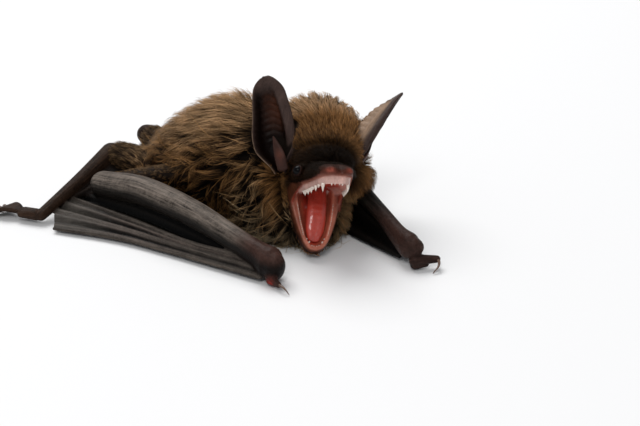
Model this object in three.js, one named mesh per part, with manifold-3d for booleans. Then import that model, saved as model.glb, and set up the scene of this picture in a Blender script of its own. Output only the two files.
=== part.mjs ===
// A small mouse-eared bat at life size. It crouches on its belly with its wings folded beside it, its head
// raised and turned to its right, and its mouth wide open.
// Millimetres: X points to the bat's left, Y to its tail and Z up. The origin is the middle of the flat
// that the belly rests on. Furred pieces reach out to the tips of the coat.
import * as THREE from "three";
import { mergeVertices } from "three/addons/utils/BufferGeometryUtils.js";
import Module from "manifold-3d";

const wasm = await Module();
wasm.setup();

// ---- Driving dimensions ----

const GAP = 0.2; // clearance between neighbouring pieces
const MEMBRANE = 0.5; // thickness of wing membranes and ears
const WORLD_UP = new THREE.Vector3(0, 0, 1);

const HEAD = { at: [3, -15.9, 8.6], yaw: 25, pitch: 27, roll: 10 }; // jaw hinge, degrees
const GAPE = 74; // angle between the two jaws, degrees
const EYE = { at: [3.7, -4.7, 1.4], radius: 0.75 };

// The two sides of the body are posed differently, as the bat leans and looks to its right. Ears are in
// the frame of the head; wings start at the wrist and turn so that the forearm runs straight back.
const SIDES = {
  right: {
    sign: -1,
    ear: { base: [-6.1, -0.5, 2.4], tip: [-7.4, -0.6, 14.6], facing: [-0.68, -0.73, 0] },
    shoulder: [-1.5, -4, 9],
    wrist: [-9.4, -20.3, 0],
    wingYaw: 4.3,
    thumb: [[1.4, -1.3, 1.3], [1.7, -2.6, 1], [1.9, -3.5, 0.9]],
    thumbClaw: [[1.9, -3.7, 0.9], [2, -4.5, 0.8], [2, -4.9, 0.35]],
    hip: [-4.5, 11.5, 5.5],
    knee: [-6.9, 17.4, 6.5],
    ankle: [-21, 16, 1.3],
    toes: [-23.6, 23.2, 1],
  },
  left: {
    sign: 1,
    ear: { base: [6.8, 0.6, 2.6], tip: [13.4, 1, 13.5], facing: [0.97, -0.15, 0] },
    shoulder: [5.5, -4, 9],
    wrist: [6.6, -30.2, 0],
    wingYaw: -16.6,
    thumb: [[0.2, -1.7, 1.4], [1.5, -2.2, 1.3], [2.5, -2.6, 1.3]],
    thumbClaw: [[2.7, -2.8, 1.3], [2.6, -3.7, 1], [1.5, -4.1, 0.35]],
    hip: [1.5, 12.5, 5.5],
    knee: [1.6, 19.5, 6.5],
    ankle: [15.2, 20, 1.3],
    toes: [18.8, 27, 1],
  },
};

// The folded wing, in steps [outward, back from the wrist, up, half width].
const FOREARM = [[0, 33.2, 4.3, 2], [0, 24.5, 5.7, 2.1], [0, 15, 5.3, 1.9], [0, 2.2, 3.1, 1.4]];
const FINGERS = {
  3: [[1.7, 0.6, 0.9, 0.8], [4.3, 15.9, 0.75, 0.6], [6.1, 24.2, 0.75, 0.6], [9.7, 33.2, 0.65, 0.45]],
  4: [[1.1, 1.9, 1.5, 0.8], [3.3, 14.6, 1.5, 0.6], [4.6, 24.5, 1.4, 0.6], [7, 36.2, 1.3, 0.45]],
  5: [[0.4, 3.2, 2.3, 0.75], [2.3, 12.8, 2.2, 0.6], [2.6, 24, 2.2, 0.55], [3.5, 38.2, 2.3, 0.45]],
};

// Trunk from the shoulders to the rump: [x, y, z, half width, half height].
const TRUNK = [
  [5.3, -8, 10.4, 6.4, 7.6],
  [3.2, -3.5, 9.2, 8.6, 9.4],
  [2.2, 1, 8.4, 9.3, 9.2],
  [1.4, 5.5, 7.2, 8.5, 8],
  [0.4, 9.8, 5.6, 6.6, 6.1],
  [-0.5, 13, 4.4, 4.4, 4.4],
];
const THROAT = [[4.4, -14.8, 4, 6, 4.4], [2.8, -7.5, 5.8, 8, 6.2]];
const NECK_END = -6;
const WAIST = 4.5; // where the chest ends and the abdomen starts

const finishes = {
  fur: new THREE.MeshStandardMaterial({ color: 0x6b4a2e, roughness: 0.9 }),
  membrane: new THREE.MeshStandardMaterial({ color: 0x3a2f2e, roughness: 0.6 }),
  mouth: new THREE.MeshStandardMaterial({ color: 0xb4463c, roughness: 0.35 }),
  jaw: new THREE.MeshStandardMaterial({ color: 0x7a4f42, roughness: 0.6 }),
  eye: new THREE.MeshStandardMaterial({ color: 0x0a0a0c, roughness: 0.05 }),
  claw: new THREE.MeshStandardMaterial({ color: 0x8a6a55, roughness: 0.4 }),
};

// ---- Turning three.js geometry into solids ----

// A geometry as a closed solid, whichever way its faces were wound.
function solidOf(geometry) {
  const bare = geometry.clone();
  bare.deleteAttribute("normal");
  bare.deleteAttribute("uv");
  const merged = mergeVertices(bare, 1e-4);
  const corners = merged.index.array;
  const triangles = [];
  for (let i = 0; i < corners.length; i += 3) {
    const [a, b, c] = corners.subarray(i, i + 3);
    if (a !== b && b !== c && a !== c) triangles.push([a, b, c]);
  }
  const make = (order) =>
    new wasm.Manifold(
      new wasm.Mesh({
        numProp: 3,
        vertProperties: new Float32Array(merged.attributes.position.array),
        triVerts: new Uint32Array(triangles.flatMap(order)),
      }),
    );
  const solid = make((t) => t);
  return solid.volume() < 0 ? make(([a, b, c]) => [a, c, b]) : solid;
}

function geometryOf(solid) {
  const mesh = solid.getMesh();
  const points = new Float32Array(mesh.numVert * 3);
  for (let i = 0; i < mesh.numVert; i++) {
    points.set(mesh.vertProperties.subarray(i * mesh.numProp, i * mesh.numProp + 3), i * 3);
  }
  const geometry = new THREE.BufferGeometry();
  geometry.setAttribute("position", new THREE.BufferAttribute(points, 3));
  geometry.setIndex(new THREE.BufferAttribute(mesh.triVerts, 1));
  geometry.computeVertexNormals();
  return geometry;
}

const point = ([x, y, z]) => new THREE.Vector3(x, y, z);
const between = (a, b, share = 0.5) => a.map((v, i) => v + (b[i] - v) * share);

// Moves every vertex of a geometry to where(x, y, z) says.
function reshaped(geometry, where) {
  const places = geometry.attributes.position;
  for (let i = 0; i < places.count; i++) {
    const p = where(places.getX(i), places.getY(i), places.getZ(i));
    places.setXYZ(i, p.x, p.y, p.z);
  }
  return geometry;
}

// Each shape below is a function of grow, which makes it that much fatter, so that a piece can be cut
// back from its neighbour and keep a gap.

// A round-ended limb through stations [x, y, z, half width, half height]; the height defaults to the width
// and is measured along up.
function limb(stations, { sides = 8, steps = 2, up = WORLD_UP } = {}) {
  const line = new THREE.CatmullRomCurve3(stations.map(point), false, "centripetal");
  const sizes = new THREE.SplineCurve(stations.map((s) => new THREE.Vector2(s[3], s[4] ?? s[3])));
  const lengths = stations.length === 2 ? 1 : (stations.length - 1) * steps;
  const caps = sides > 8 ? [0, Math.PI / 6, Math.PI / 3] : [0, Math.PI / 4];
  return (grow) => {
    const rings = [
      ...caps.map((angle) => ({ t: 0, beyond: -Math.cos(angle), share: Math.sin(angle) })),
      ...Array.from({ length: lengths + 1 }, (_, i) => ({ t: i / lengths, beyond: 0, share: 1 })),
      ...caps.map((angle) => ({ t: 1, beyond: Math.cos(angle), share: Math.sin(angle) })).reverse(),
    ].map(({ t, beyond, share }) => {
      const size = sizes.getPoint(t);
      const tangent = line.getTangent(t);
      const side = new THREE.Vector3().crossVectors(tangent, up).normalize();
      const lift = new THREE.Vector3().crossVectors(side, tangent);
      const reach = (Math.min(size.x, size.y) + grow) * beyond;
      return {
        centre: line.getPoint(t).addScaledVector(tangent, reach),
        side: side.multiplyScalar((size.x + grow) * share),
        lift: lift.multiplyScalar((size.y + grow) * share),
      };
    });
    const ends = [0, rings.length - 1];
    const profile = rings.map((_, i) => new THREE.Vector2(ends.includes(i) ? 0 : 1, i));
    return solidOf(
      reshaped(new THREE.LatheGeometry(profile, sides), (x, y, z) => {
        const { centre, side, lift } = rings[Math.round(y)];
        return centre.clone().addScaledVector(side, x).addScaledVector(lift, z);
      }),
    );
  };
}

// A thickened surface: surface(u, v) gives a point for u and v from 0 to 1.
function sheet(surface, { along = 6, across = 3, thick = MEMBRANE } = {}) {
  const step = 1e-3;
  return (grow) =>
    solidOf(
      reshaped(new THREE.BoxGeometry(1, 1, 1, along, across, 1), (x, y, z) => {
        const [u, v] = [x + 0.5, y + 0.5];
        const du = surface(u + step, v).sub(surface(u - step, v));
        const dv = surface(u, v + step).sub(surface(u, v - step));
        const normal = new THREE.Vector3().crossVectors(du, dv).normalize();
        return surface(u, v)
          .addScaledVector(du.normalize(), 2 * x * grow)
          .addScaledVector(dv.normalize(), 2 * y * grow)
          .addScaledVector(normal, z * (thick + 2 * grow));
      }),
    );
}

// A membrane stretched between two lines of points, hanging down by sag in its middle.
function membrane(lineA, lineB, { sag = 0, ...grid } = {}) {
  const a = new THREE.CatmullRomCurve3(lineA.map(point));
  const b = new THREE.CatmullRomCurve3(lineB.map(point));
  const surface = (u, v) => {
    const t = THREE.MathUtils.clamp(u, 0, 1);
    const at = a.getPoint(t).lerp(b.getPoint(t), v);
    at.z -= sag * 4 * v * (1 - v);
    return at;
  };
  return sheet(surface, grid);
}

// ---- Putting pieces together ----

const bat = new THREE.Group();
const cleared = []; // room taken by the pieces placed so far
const floor = solidOf(new THREE.BoxGeometry(200, 200, 10).translate(0, 0, -5));

function slab(from, to) {
  return solidOf(new THREE.BoxGeometry(80, to - from, 80).translate(0, (from + to) / 2, 0));
}

// Keeps a space clear of all the pieces that come after it.
function clear(group, space) {
  bat.updateMatrixWorld(true);
  cleared.push(space.transform(group.matrixWorld.elements));
}

// Adds one piece to a group, cut back from the pieces placed before it and trimmed flat at the floor.
// Later pieces keep clear of its room, by default its own shape.
function place(group, name, finish, make, room = make) {
  bat.updateMatrixWorld(true);
  let solid = make(0).transform(group.matrixWorld.elements).subtract(floor);
  for (const room of cleared) solid = solid.subtract(room);
  const [largest] = solid.decompose().sort((a, b) => b.volume() - a.volume());
  const back = group.matrixWorld.clone().invert();
  const mesh = new THREE.Mesh(geometryOf(largest.transform(back.elements)), finishes[finish]);
  mesh.name = name;
  group.add(mesh);
  clear(group, room(GAP));
}

const radians = THREE.MathUtils.degToRad;

// A group turned by yaw about Z, then pitch about X, then roll about Y.
function turned(parent, at, pitch, roll, yaw) {
  const group = new THREE.Group();
  group.position.set(...at);
  group.rotation.set(radians(pitch), radians(roll), radians(yaw), "ZXY");
  parent.add(group);
  return group;
}

// ---- Head ----

const head = turned(bat, HEAD.at, -HEAD.pitch, HEAD.roll, -HEAD.yaw);
const jaw = turned(head, [0, 0, 0], GAPE, 0, 0);

// The rows of teeth run back from the canines, each at [half width, y].
const UPPER_ROW = [[1.75, -9.2], [2.15, -7.8], [2.45, -6.6], [2.7, -5.4], [2.9, -4.2]];
const LOWER_ROW = [[1.1, -9.2], [1.8, -7.8], [2.2, -6.6], [2.5, -5.4], [2.8, -4.2]];
const CANINE = 1.4;
const CHEEK_TOOTH = 0.7;

// A tooth: a cone that stands on z, length tall; a negative length hangs.
function tooth(x, y, z, length, radius) {
  const cone = new THREE.ConeGeometry(radius, Math.abs(length), 4).translate(0, Math.abs(length) / 2, 0);
  return solidOf(cone.rotateX(Math.sign(length) * Math.PI / 2).translate(x, y, z));
}

function withTeeth(gum, row, z, direction) {
  return row.reduce((solid, [x, y], i) => {
    const [length, radius] = i === 0 ? [CANINE, 0.4] : [CHEEK_TOOTH, 0.45];
    return [-x, x].reduce((all, at) => all.add(tooth(at, y, z, direction * length, radius)), solid);
  }, gum);
}

function buildJaws() {
  const tongue = limb([[0, 0.6, -1, 1.9, 0.8], [0, -4, -0.6, 1.8, 0.9], [0, -8, -0.9, 1.4, 0.6]]);
  place(jaw, "tongue", "mouth", tongue);

  const chin = limb(
    [[0, 0, -1.2, 4.3, 2.2], [0, -3.4, -1.3, 3.9, 1.9], [0, -6.4, -1.2, 3.1, 1.6], [0, -9, -0.9, 1.8, 1.2]],
    { sides: 10 },
  );
  const trough = limb(
    [[0, 2, 1.2, 2.9, 2.6], [0, -3, 0.9, 2.8, 2.2], [0, -6, 0.8, 2.1, 1.9], [0, -8.5, 0.9, 0.8, 1.4]],
  );
  const toothedChin = () => withTeeth(chin(0).subtract(trough(0)), LOWER_ROW, -0.6, 1);
  place(jaw, "lower_jaw", "jaw", toothedChin, chin);

  for (const [side, { sign }] of Object.entries(SIDES)) {
    const [x, y, z] = EYE.at;
    const eye = (grow) => {
      return solidOf(new THREE.SphereGeometry(EYE.radius + grow, 8, 6).translate(sign * x, y, z));
    };
    place(head, `eye_${side}`, "eye", eye);
  }

  const snout = limb(
    [[0, -4.2, 1.1, 3.9, 2.4], [0, -6.8, 1, 3.1, 2], [0, -9.2, 0.9, 2.3, 1.6]],
    { sides: 10 },
  );
  const palate = limb([[0, -3, -1.4, 2.4, 1.3], [0, -8.3, -1.3, 1.3, 0.9]]);
  const toothedSnout = () => withTeeth(snout(0).subtract(palate(0)), UPPER_ROW, -0.3, -1);
  place(head, "muzzle", "jaw", toothedSnout, snout);
}

// An ear: a cup open towards -Y whose rim widens and narrows again to a rounded tip.
const EAR_RIM = [[2, 2.4], [2.65, 2.3], [3, 2], [2.75, 1.5], [2.2, 0.9], [1, 0.3]];
const EAR_CURL = [110, 60]; // half the turn of the cup at its base and at its tip, degrees

function earSurface(height) {
  const rim = new THREE.SplineCurve(EAR_RIM.map((size) => new THREE.Vector2(...size)));
  return (u, v) => {
    const t = THREE.MathUtils.clamp(v, 0, 1);
    const curl = radians(THREE.MathUtils.lerp(...EAR_CURL, t));
    const angle = (2 * u - 1) * curl;
    const { x: half, y: depth } = rim.getPoint(t);
    const x = (half * Math.sin(angle)) / Math.sin(Math.min(curl, Math.PI / 2));
    const y = (depth * (Math.cos(angle) - Math.cos(curl))) / (1 - Math.cos(curl));
    return new THREE.Vector3(x, y, v * height);
  };
}

function buildEar(side) {
  const { base, tip, facing } = SIDES[side].ear;
  const up = point(tip).sub(point(base));
  const height = up.length();
  const across = new THREE.Vector3().crossVectors(up, point(facing)).normalize();
  const back = new THREE.Vector3().crossVectors(up.normalize(), across);
  const ear = new THREE.Group();
  ear.position.set(...base);
  ear.setRotationFromMatrix(new THREE.Matrix4().makeBasis(across, back, up));
  head.add(ear);

  const lean = -SIDES[side].sign;
  const front = { sides: 6, up: point([0, -1, 0]) };
  const tragus = limb(
    [[lean * 1.1, 0.3, 0.7, 0.9, 0.3], [lean * 0.7, 0.2, 2.4, 0.75, 0.3], [lean * 0.3, 0.2, 4.2, 0.3]],
    front,
  );
  place(ear, `tragus_${side}`, "membrane", tragus);
  const socket = limb(
    [[0, -0.8, 0.6, 3, 4.4], [0, -1.2, 5, 4.3, 5], [0, -1.6, 10, 4.3, 5]],
    { ...front, steps: 1 },
  );
  const cup = sheet(earSurface(height), { along: 8, across: 7 });
  place(ear, `ear_${side}`, "membrane", cup, socket);
}

function buildSkull() {
  clear(head, limb([[0, 0, -1.6, 2.6, 1.4], [0, -3, -3.2, 3.3, 3], [0, -8, -7, 3.8, 6]])(0));
  const crown = limb(
    [
      [0.4, -3, 2.8, 4.3, 3],
      [0.8, -1.2, 3.7, 5.8, 5.4],
      [1.3, 1.4, 4.4, 7.2, 7.7],
      [1.2, 4.6, 4.8, 8.7, 8.7],
      [0.6, 8, 4.2, 8, 7.4],
    ],
    { sides: 12 },
  );
  const ruff = limb(
    [[5, -1.8, 1, 2.4, 2.8], [6.2, 1.4, 0.8, 3.3, 4.2], [5.4, 6, 1.4, 4, 5]],
    { sides: 10, steps: 1 },
  );
  place(head, "head", "fur", (grow) => crown(grow).add(ruff(grow)));
}

// ---- Wings ----

function buildWing(side) {
  const { sign, shoulder, wrist, wingYaw, thumb, thumbClaw } = SIDES[side];
  const wing = turned(bat, wrist, 0, 0, wingYaw);
  const own = (stations) => stations.map(([out, ...others]) => [sign * out, ...others]);
  const widths = (stations, sizes) => own(stations).map((p, i) => [...p, sizes[i]]);
  const thin = { sides: 5 };

  place(wing, `thumb_claw_${side}`, "claw", limb(widths(thumbClaw, [0.4, 0.35, 0.25]), thin));
  place(wing, `thumb_${side}`, "membrane", limb(widths(thumb, [0.8, 0.6, 0.5]), thin));
  const carpus = own([[0.2, 1.8, 3, 1.5, 2], [0.3, 0.2, 2.5, 2, 2.6], [0.5, -0.7, 2.3, 1.6, 2.2]]);
  place(wing, `wrist_${side}`, "membrane", limb(carpus));
  for (const finger of [3, 4, 5]) {
    place(wing, `finger_${finger}_${side}`, "membrane", limb(own(FINGERS[finger]), { ...thin, steps: 1 }));
  }
  place(wing, `forearm_${side}`, "membrane", limb(own(FOREARM)));

  const [outer, mid, inner] = [3, 4, 5].map((finger) => own(FINGERS[finger]).map((p) => p.slice(0, 3)));
  const arm = own(FOREARM).map(([x, y, z]) => [x, y, z - 1]);
  place(wing, `hand_membrane_outer_${side}`, "membrane", membrane(outer, mid, { sag: 0.1, across: 1 }));
  place(wing, `hand_membrane_inner_${side}`, "membrane", membrane(mid, inner, { sag: 0.4, across: 2 }));
  const hem = own([[-2.2, 30, 0.8], [-2, 22, 0.6], [-1.7, 13, 0.5], [-0.9, 4, 0.5]]).map(([x, ...others]) => [
    side === "left" ? x - 1.2 : x,
    ...others,
  ]);
  const curtain = membrane(arm, hem, { along: 5, across: 1 });
  const folded = membrane(inner, [...arm].reverse(), { sag: 1, across: 2 });
  place(wing, `arm_membrane_${side}`, "membrane", (grow) => folded(grow).add(curtain(grow)));

  const elbow = wing.localToWorld(point(own(FOREARM)[0])).toArray();
  const upperArm = limb([[...shoulder, 2], [...between(shoulder, elbow, 0.85), 1.6]]);
  place(bat, `upper_arm_${side}`, "membrane", upperArm);
}

// ---- Legs and tail ----

// The tail curls down and under the rump: [x, y, z, radius].
const TAIL = [
  [-1.2, 17.6, 4.4, 0.9],
  [-1.6, 21.4, 3.4, 0.7],
  [-2, 23.4, 1.5, 0.6],
  [-2, 20.5, 0.6, 0.5],
  [-1.9, 17, 0.6, 0.35],
];

function buildLeg(side) {
  const { hip, knee, ankle, toes } = SIDES[side];
  const instep = between(ankle, toes, 0.4);
  const sole = limb([[...between(ankle, toes, 0.1), 0.9], [...instep, 1.3, 0.75]], { sides: 8 });
  const spread = [-1.6, -0.8, 0, 0.8, 1.6].map((across) => {
    const knuckle = between(ankle, toes, 0.7).map((v, i) => v + [across * 0.7, 0, 0.5][i]);
    const tip = [toes[0] + across, toes[1], 0.3];
    return limb([[...instep, 0.4], [...knuckle, 0.4], [...tip, 0.3]], { sides: 4, steps: 1 });
  });
  const foot = () => spread.reduce((solid, toe) => solid.add(toe(0)), sole(0));
  const shin = limb([[...knee, 1.6], [...between(knee, ankle, 0.45), 1.15], [...ankle, 0.9]]);
  const thigh = limb([[...hip, 2.8], [...between(hip, knee, 0.75), 2.1]]);
  place(bat, `foot_${side}`, "membrane", foot, sole);
  place(bat, `shin_${side}`, "membrane", shin);
  place(bat, `thigh_${side}`, "fur", thigh);
}

// Where the wing joins the leg: a narrow membrane from the flank to the ankle, behind the elbow.
function buildSideMembrane(side) {
  const { sign, hip, knee, ankle, wrist, wingYaw } = SIDES[side];
  const onWing = ([out, back, up]) => {
    const turn = radians(wingYaw);
    const [x, y] = [sign * out, back];
    return [
      wrist[0] + x * Math.cos(turn) - y * Math.sin(turn),
      wrist[1] + x * Math.sin(turn) + y * Math.cos(turn),
      up,
    ];
  };
  const front = [[-4.5, 24, 4.2], [-3, 31, 3.4], [0, 34, 2.8], [3, 37.2, 1.7]].map(onWing);
  const [x, y, z] = between(hip, knee, 0.6);
  const leg = [[x, y, z - 1.4], ...[0.15, 0.5, 0.85].map((share) => between(knee, ankle, share))];
  place(bat, `side_membrane_${side}`, "membrane", membrane(front, leg, { along: 5, across: 2 }));
}

function buildTail() {
  place(bat, "tail", "membrane", limb(TAIL, { sides: 6 }));
  const root = TAIL.slice(0, 3).map((p) => p.slice(0, 3));
  for (const [side, { knee, ankle }] of Object.entries(SIDES)) {
    const shin = [0.15, 0.5, 0.9].map((share) => between(knee, ankle, share));
    place(bat, `tail_membrane_${side}`, "membrane", membrane(shin, root, { along: 3, across: 2 }));
  }
}

function buildTrunk() {
  const trunk = limb(TRUNK, { sides: 16, steps: 1 });
  const throat = limb(THROAT, { sides: 10 });
  const body = (grow) => trunk(grow).add(throat(grow));
  place(bat, "chest", "fur", (grow) => body(grow).intersect(slab(NECK_END - grow, WAIST + grow)));
  place(bat, "neck", "fur", (grow) => body(grow).intersect(slab(-60, NECK_END + grow)));
  place(bat, "abdomen", "fur", (grow) => body(grow).intersect(slab(WAIST - grow, 60)));
}

buildJaws();
for (const side of Object.keys(SIDES)) buildEar(side);
for (const side of Object.keys(SIDES)) {
  buildWing(side);
  buildLeg(side);
  buildSideMembrane(side);
}
buildTail();
buildSkull();
buildTrunk();

export default bat;
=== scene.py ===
"""A small mouse-eared bat, crouching with folded wings and an open mouth, built round its solid frame.

The skin is one closed surface that takes the place of every fleshy node. Over it lies the coat, in tufts
of thin solid hairs. Eyes, teeth, claws and tongue are pieces of their own. Shapes are worked out in
millimetres in the frame's axes, with the bat's left along X, its tail along Y and up along Z.
"""

import bmesh
import bpy
import numpy as np
from bpy.props import FloatProperty, FloatVectorProperty, IntProperty, PointerProperty
from bpy.types import Operator, Panel, PropertyGroup
from mathutils import Matrix, Vector


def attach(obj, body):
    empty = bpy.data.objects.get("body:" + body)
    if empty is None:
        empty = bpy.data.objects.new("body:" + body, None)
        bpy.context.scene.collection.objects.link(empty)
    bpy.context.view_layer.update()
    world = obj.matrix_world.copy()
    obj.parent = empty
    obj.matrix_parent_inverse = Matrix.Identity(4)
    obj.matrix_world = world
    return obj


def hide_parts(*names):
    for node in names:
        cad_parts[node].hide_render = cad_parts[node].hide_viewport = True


bl_info = {
    "name": "Crouching Bat",
    "version": (1, 0, 0),
    "blender": (4, 5, 0),
    "location": "3D View > Sidebar > Bat",
    "description": "Builds the skin, coat, teeth, claws and stage of a small brown bat round its frame",
    "category": "Object",
}

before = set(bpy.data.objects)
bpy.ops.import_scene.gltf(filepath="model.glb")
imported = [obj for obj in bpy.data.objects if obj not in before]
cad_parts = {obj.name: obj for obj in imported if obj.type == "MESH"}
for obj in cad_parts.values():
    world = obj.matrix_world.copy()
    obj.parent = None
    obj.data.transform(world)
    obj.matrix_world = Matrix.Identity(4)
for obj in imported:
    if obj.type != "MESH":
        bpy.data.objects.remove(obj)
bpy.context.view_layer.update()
MM = 0.001
UP = (0.0, 0.0, 1.0)

FLESH = [
    "abdomen", "chest", "neck", "head", "muzzle", "lower_jaw", "tail",
    *(
        f"{part}_{side}"
        for side in ("right", "left")
        for part in (
            "ear", "tragus", "upper_arm", "forearm", "wrist", "thumb", "finger_3", "finger_4", "finger_5",
            "hand_membrane_outer", "hand_membrane_inner", "arm_membrane", "side_membrane",
            "thigh", "shin", "foot", "tail_membrane",
        )
    ),
]


# ---- Sizes and colours that a user would change ----


def length(name, description, default):
    """A length for the panel, given in millimetres."""
    return FloatProperty(name=name, description=description, default=default * MM, min=0.0, unit="LENGTH")


def colour(name, description, default):
    """A colour for the panel, as linear red, green and blue."""
    return FloatVectorProperty(
        name=name, description=description, default=default, size=3, min=0.0, max=1.0, subtype="COLOR"
    )


class BatSizes(PropertyGroup):
    """Lengths of the coat and thicknesses of the skin."""

    coat_depth: length("Coat depth", "How far the skin lies under the outline of the trunk", 1.7)
    head_coat_depth: length("Head coat depth", "How far the skin lies under the outline of the head", 1.2)
    back_hair: length("Back hair", "Length of the hairs on the back and rump", 4.6)
    flank_hair: length("Flank hair", "Length of the hairs on the flanks and chest", 5.2)
    head_hair: length("Head hair", "Length of the hairs on the crown", 2.8)
    hair_width: length("Hair width", "Thickness of one hair tuft at its root", 0.056)
    clump_width: length("Clump width", "Distance between the locks of the flank", 0.95)
    ear_wall: length("Ear wall", "Thickness of the ears", 0.42)
    wing_wall: length("Wing wall", "Thickness of the wing membranes", 0.4)
    skin_step: length("Skin step", "Size of the finest detail that the skin keeps", 0.14)
    hairs: IntProperty(name="Hairs", description="Number of hair tufts in the whole coat", default=90000)


class BatColours(PropertyGroup):
    """Colours of the skin, mouth and coat."""

    # The skin under the fur is the bat's dark skin, made near-black so that it also stands in for the shade
    # between the hairs.
    under_fur: colour("Skin under the fur", "Near-black brown between the hairs", (0.007, 0.004, 0.0025))
    hair_root: colour("Hair root", "Colour of a hair where it leaves the skin", (0.0055, 0.0032, 0.002))
    back_tip: colour("Back tips", "Pale tan tips on the back", (0.66, 0.4, 0.2))
    flank_tip: colour("Flank tips", "Golden tips of the wet locks", (0.6, 0.3, 0.105))
    crown_tip: colour("Crown tips", "Tan tips on top of the head", (0.93, 0.605, 0.345))
    brow_tip: colour("Brow tips", "Dark brown tips round the face", (0.026, 0.012, 0.0045))
    throat_tip: colour("Throat tips", "Blond tips under the jaw", (0.76, 0.49, 0.25))
    forearm: colour("Forearm", "Grey-brown leathery skin", (0.088, 0.072, 0.06))
    membrane: colour("Membrane", "Dark brown skin between the fingers", (0.02, 0.0155, 0.013))
    wrist: colour("Wrist", "Warm brown skin of wrist and thumb", (0.036, 0.018, 0.014))
    leg: colour("Leg", "Dark brown skin of shin and tail membrane", (0.026, 0.0135, 0.008))
    ear_rim: colour("Ear rim", "Purple-brown rims of the ears", (0.046, 0.0285, 0.024))
    ear_bowl: colour("Ear bowl", "Red-brown inside of the ears", (0.028, 0.0095, 0.005))
    ear_back: colour("Ear back", "Pale grey-tan backs of the ears", (0.27, 0.18, 0.12))
    muzzle: colour("Muzzle", "Dark naked skin of the muzzle", (0.028, 0.0095, 0.0055))
    nostril: colour("Nostril", "Pink rim of the nostrils", (0.38, 0.09, 0.058))
    lip: colour("Lip", "Pale pink inside of the lips", (0.33, 0.115, 0.078))
    gum: colour("Gum", "Whitish pink gums", (0.58, 0.36, 0.31))
    cheek: colour("Cheek", "Orange-brown skin at the corners of the mouth", (0.062, 0.018, 0.008))
    mouth: colour("Mouth", "Deep red lining of the mouth", (0.32, 0.034, 0.019))
    tongue: colour("Tongue", "Wet salmon red", (0.48, 0.046, 0.026))
    tooth: colour("Tooth", "Off-white enamel", (0.74, 0.64, 0.56))
    claw: colour("Claw", "Dark horn", (0.12, 0.066, 0.042))
    floor: colour("Floor", "Plain pale floor", (0.88, 0.88, 0.885))


def sizes():
    """The sizes that are set in the scene."""
    return bpy.context.scene.bat_sizes


def tone(name, scale=1.0):
    """One of the bat's colours, all of it or each of its channels scaled."""
    return np.array(getattr(bpy.context.scene.bat_colours, name)) * scale


# ---- Working with points ----


def unit(vectors):
    """Each vector divided by its own length."""
    vectors = np.asarray(vectors, float)
    return vectors / np.maximum(np.linalg.norm(vectors, axis=-1, keepdims=True), 1e-12)


def mix(a, b, share):
    """a + share × (b − a), with one share for each point's colour."""
    return a + (b - a) * np.asarray(share)[..., None]


def columns_of(points):
    """The x, y and z of points, each as a view of its own."""
    return np.moveaxis(points, -1, 0)


def ease(low, high, x):
    """0 below low and 1 above high, with 3s² − 2s³ between them."""
    s = np.clip((np.asarray(x, float) - low) / (high - low), 0, 1)
    return s * s * (3 - 2 * s)


def bump_at(points, centre, reach):
    """A rounded hill: e to the power −(distance / reach)²."""
    return np.exp(-np.sum((points - np.asarray(centre)) ** 2, axis=-1) / reach**2)


def smooth_path(points, places):
    """Points at places from 0 to 1 on a line through the given points: in each span a cubic, whose slope at
    either end is half the step between the neighbours of that end."""
    given = np.asarray(points, float)
    spans = len(given) - 1
    padded = np.vstack([2 * given[0] - given[1], given, 2 * given[-1] - given[-2]])
    s = np.clip(places, 0, 1) * spans
    i = np.minimum(s.astype(int), spans - 1)
    f = (s - i)[:, None]
    a, b, c, d = (padded[i + k] for k in range(4))
    return b + 0.5 * f * (c - a + f * (2 * a - 5 * b + 4 * c - d + f * (3 * b - 3 * c + d - a)))


def turned(axis, degrees):
    """The rotation round an axis by an angle in degrees."""
    return np.array(Matrix.Rotation(np.radians(degrees), 3, axis))


class Place:
    """A local frame: where its origin is and how it is turned."""

    def __init__(self, at, turn):
        self.at, self.turn = np.asarray(at, float), np.asarray(turn, float)

    def out(self, points):
        """Local points in the bat's frame: turn × point + origin."""
        return np.asarray(points, float) @ self.turn.T + self.at

    def into(self, points):
        """The bat's points in the local frame: turn transposed × (point − origin)."""
        return (np.asarray(points, float) - self.at) @ self.turn


HEAD = Place((3, -15.9, 8.6), turned("Z", -25) @ turned("X", -27) @ turned("Y", 10))
JAW_TURN = turned("X", 74)
JAW = Place(HEAD.at, HEAD.turn @ JAW_TURN)
BODY = Place((0, 0, 0), np.eye(3))
EYES, EYE_RADIUS = {"right": (-3.82, -4.76, 1.38), "left": (3.3, -4.4, 1.4)}, 0.75

SIDES = {
    "right": {
        "sign": -1,
        "ear": {
            "base": (-6.1, -0.5, 2.4), "tip": (-7.4, -0.6, 14.6), "facing": (-0.68, -0.73, 0), "front": 1,
        },
        "shoulder": (-1.5, -4, 9),
        "wrist": (-9.4, -20.3, 0),
        "wing_yaw": 4.3,
        "thumb": [(1.3, -1.1, 1.3), (1.6, -2.1, 1), (1.75, -2.8, 0.85)],
        "thumb_claw": [(1.75, -2.7, 0.9), (1.95, -3.6, 0.95), (2.05, -4.4, 0.7), (2.0, -4.9, 0.2)],
        "hip": (-4.5, 11.5, 5.5),
        "knee": (-6.9, 17.4, 6.5),
        "ankle": (-21, 16, 1.3),
        "toes": (-23.6, 23.2, 1),
    },
    "left": {
        "sign": 1,
        "ear": {"base": (6.8, 0.6, 2.6), "tip": (13.4, 1, 13.5), "facing": (0.97, -0.15, 0), "front": -1},
        "shoulder": (5.5, -4, 9),
        "wrist": (6.6, -30.2, 0),
        "wing_yaw": -16.6,
        "thumb": [(0.2, -1.7, 1.4), (1.6, -2.2, 1.4), (3.0, -2.7, 1.35)],
        "thumb_claw": [(2.45, -2.6, 1.35), (3.0, -3.1, 1.3), (2.6, -3.8, 0.85), (1.5, -4.2, 0.25)],
        "hip": (1.5, 12.5, 5.5),
        "knee": (1.6, 19.5, 6.5),
        "ankle": (15.2, 20, 1.3),
        "toes": (18.8, 27, 1),
    },
}

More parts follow.
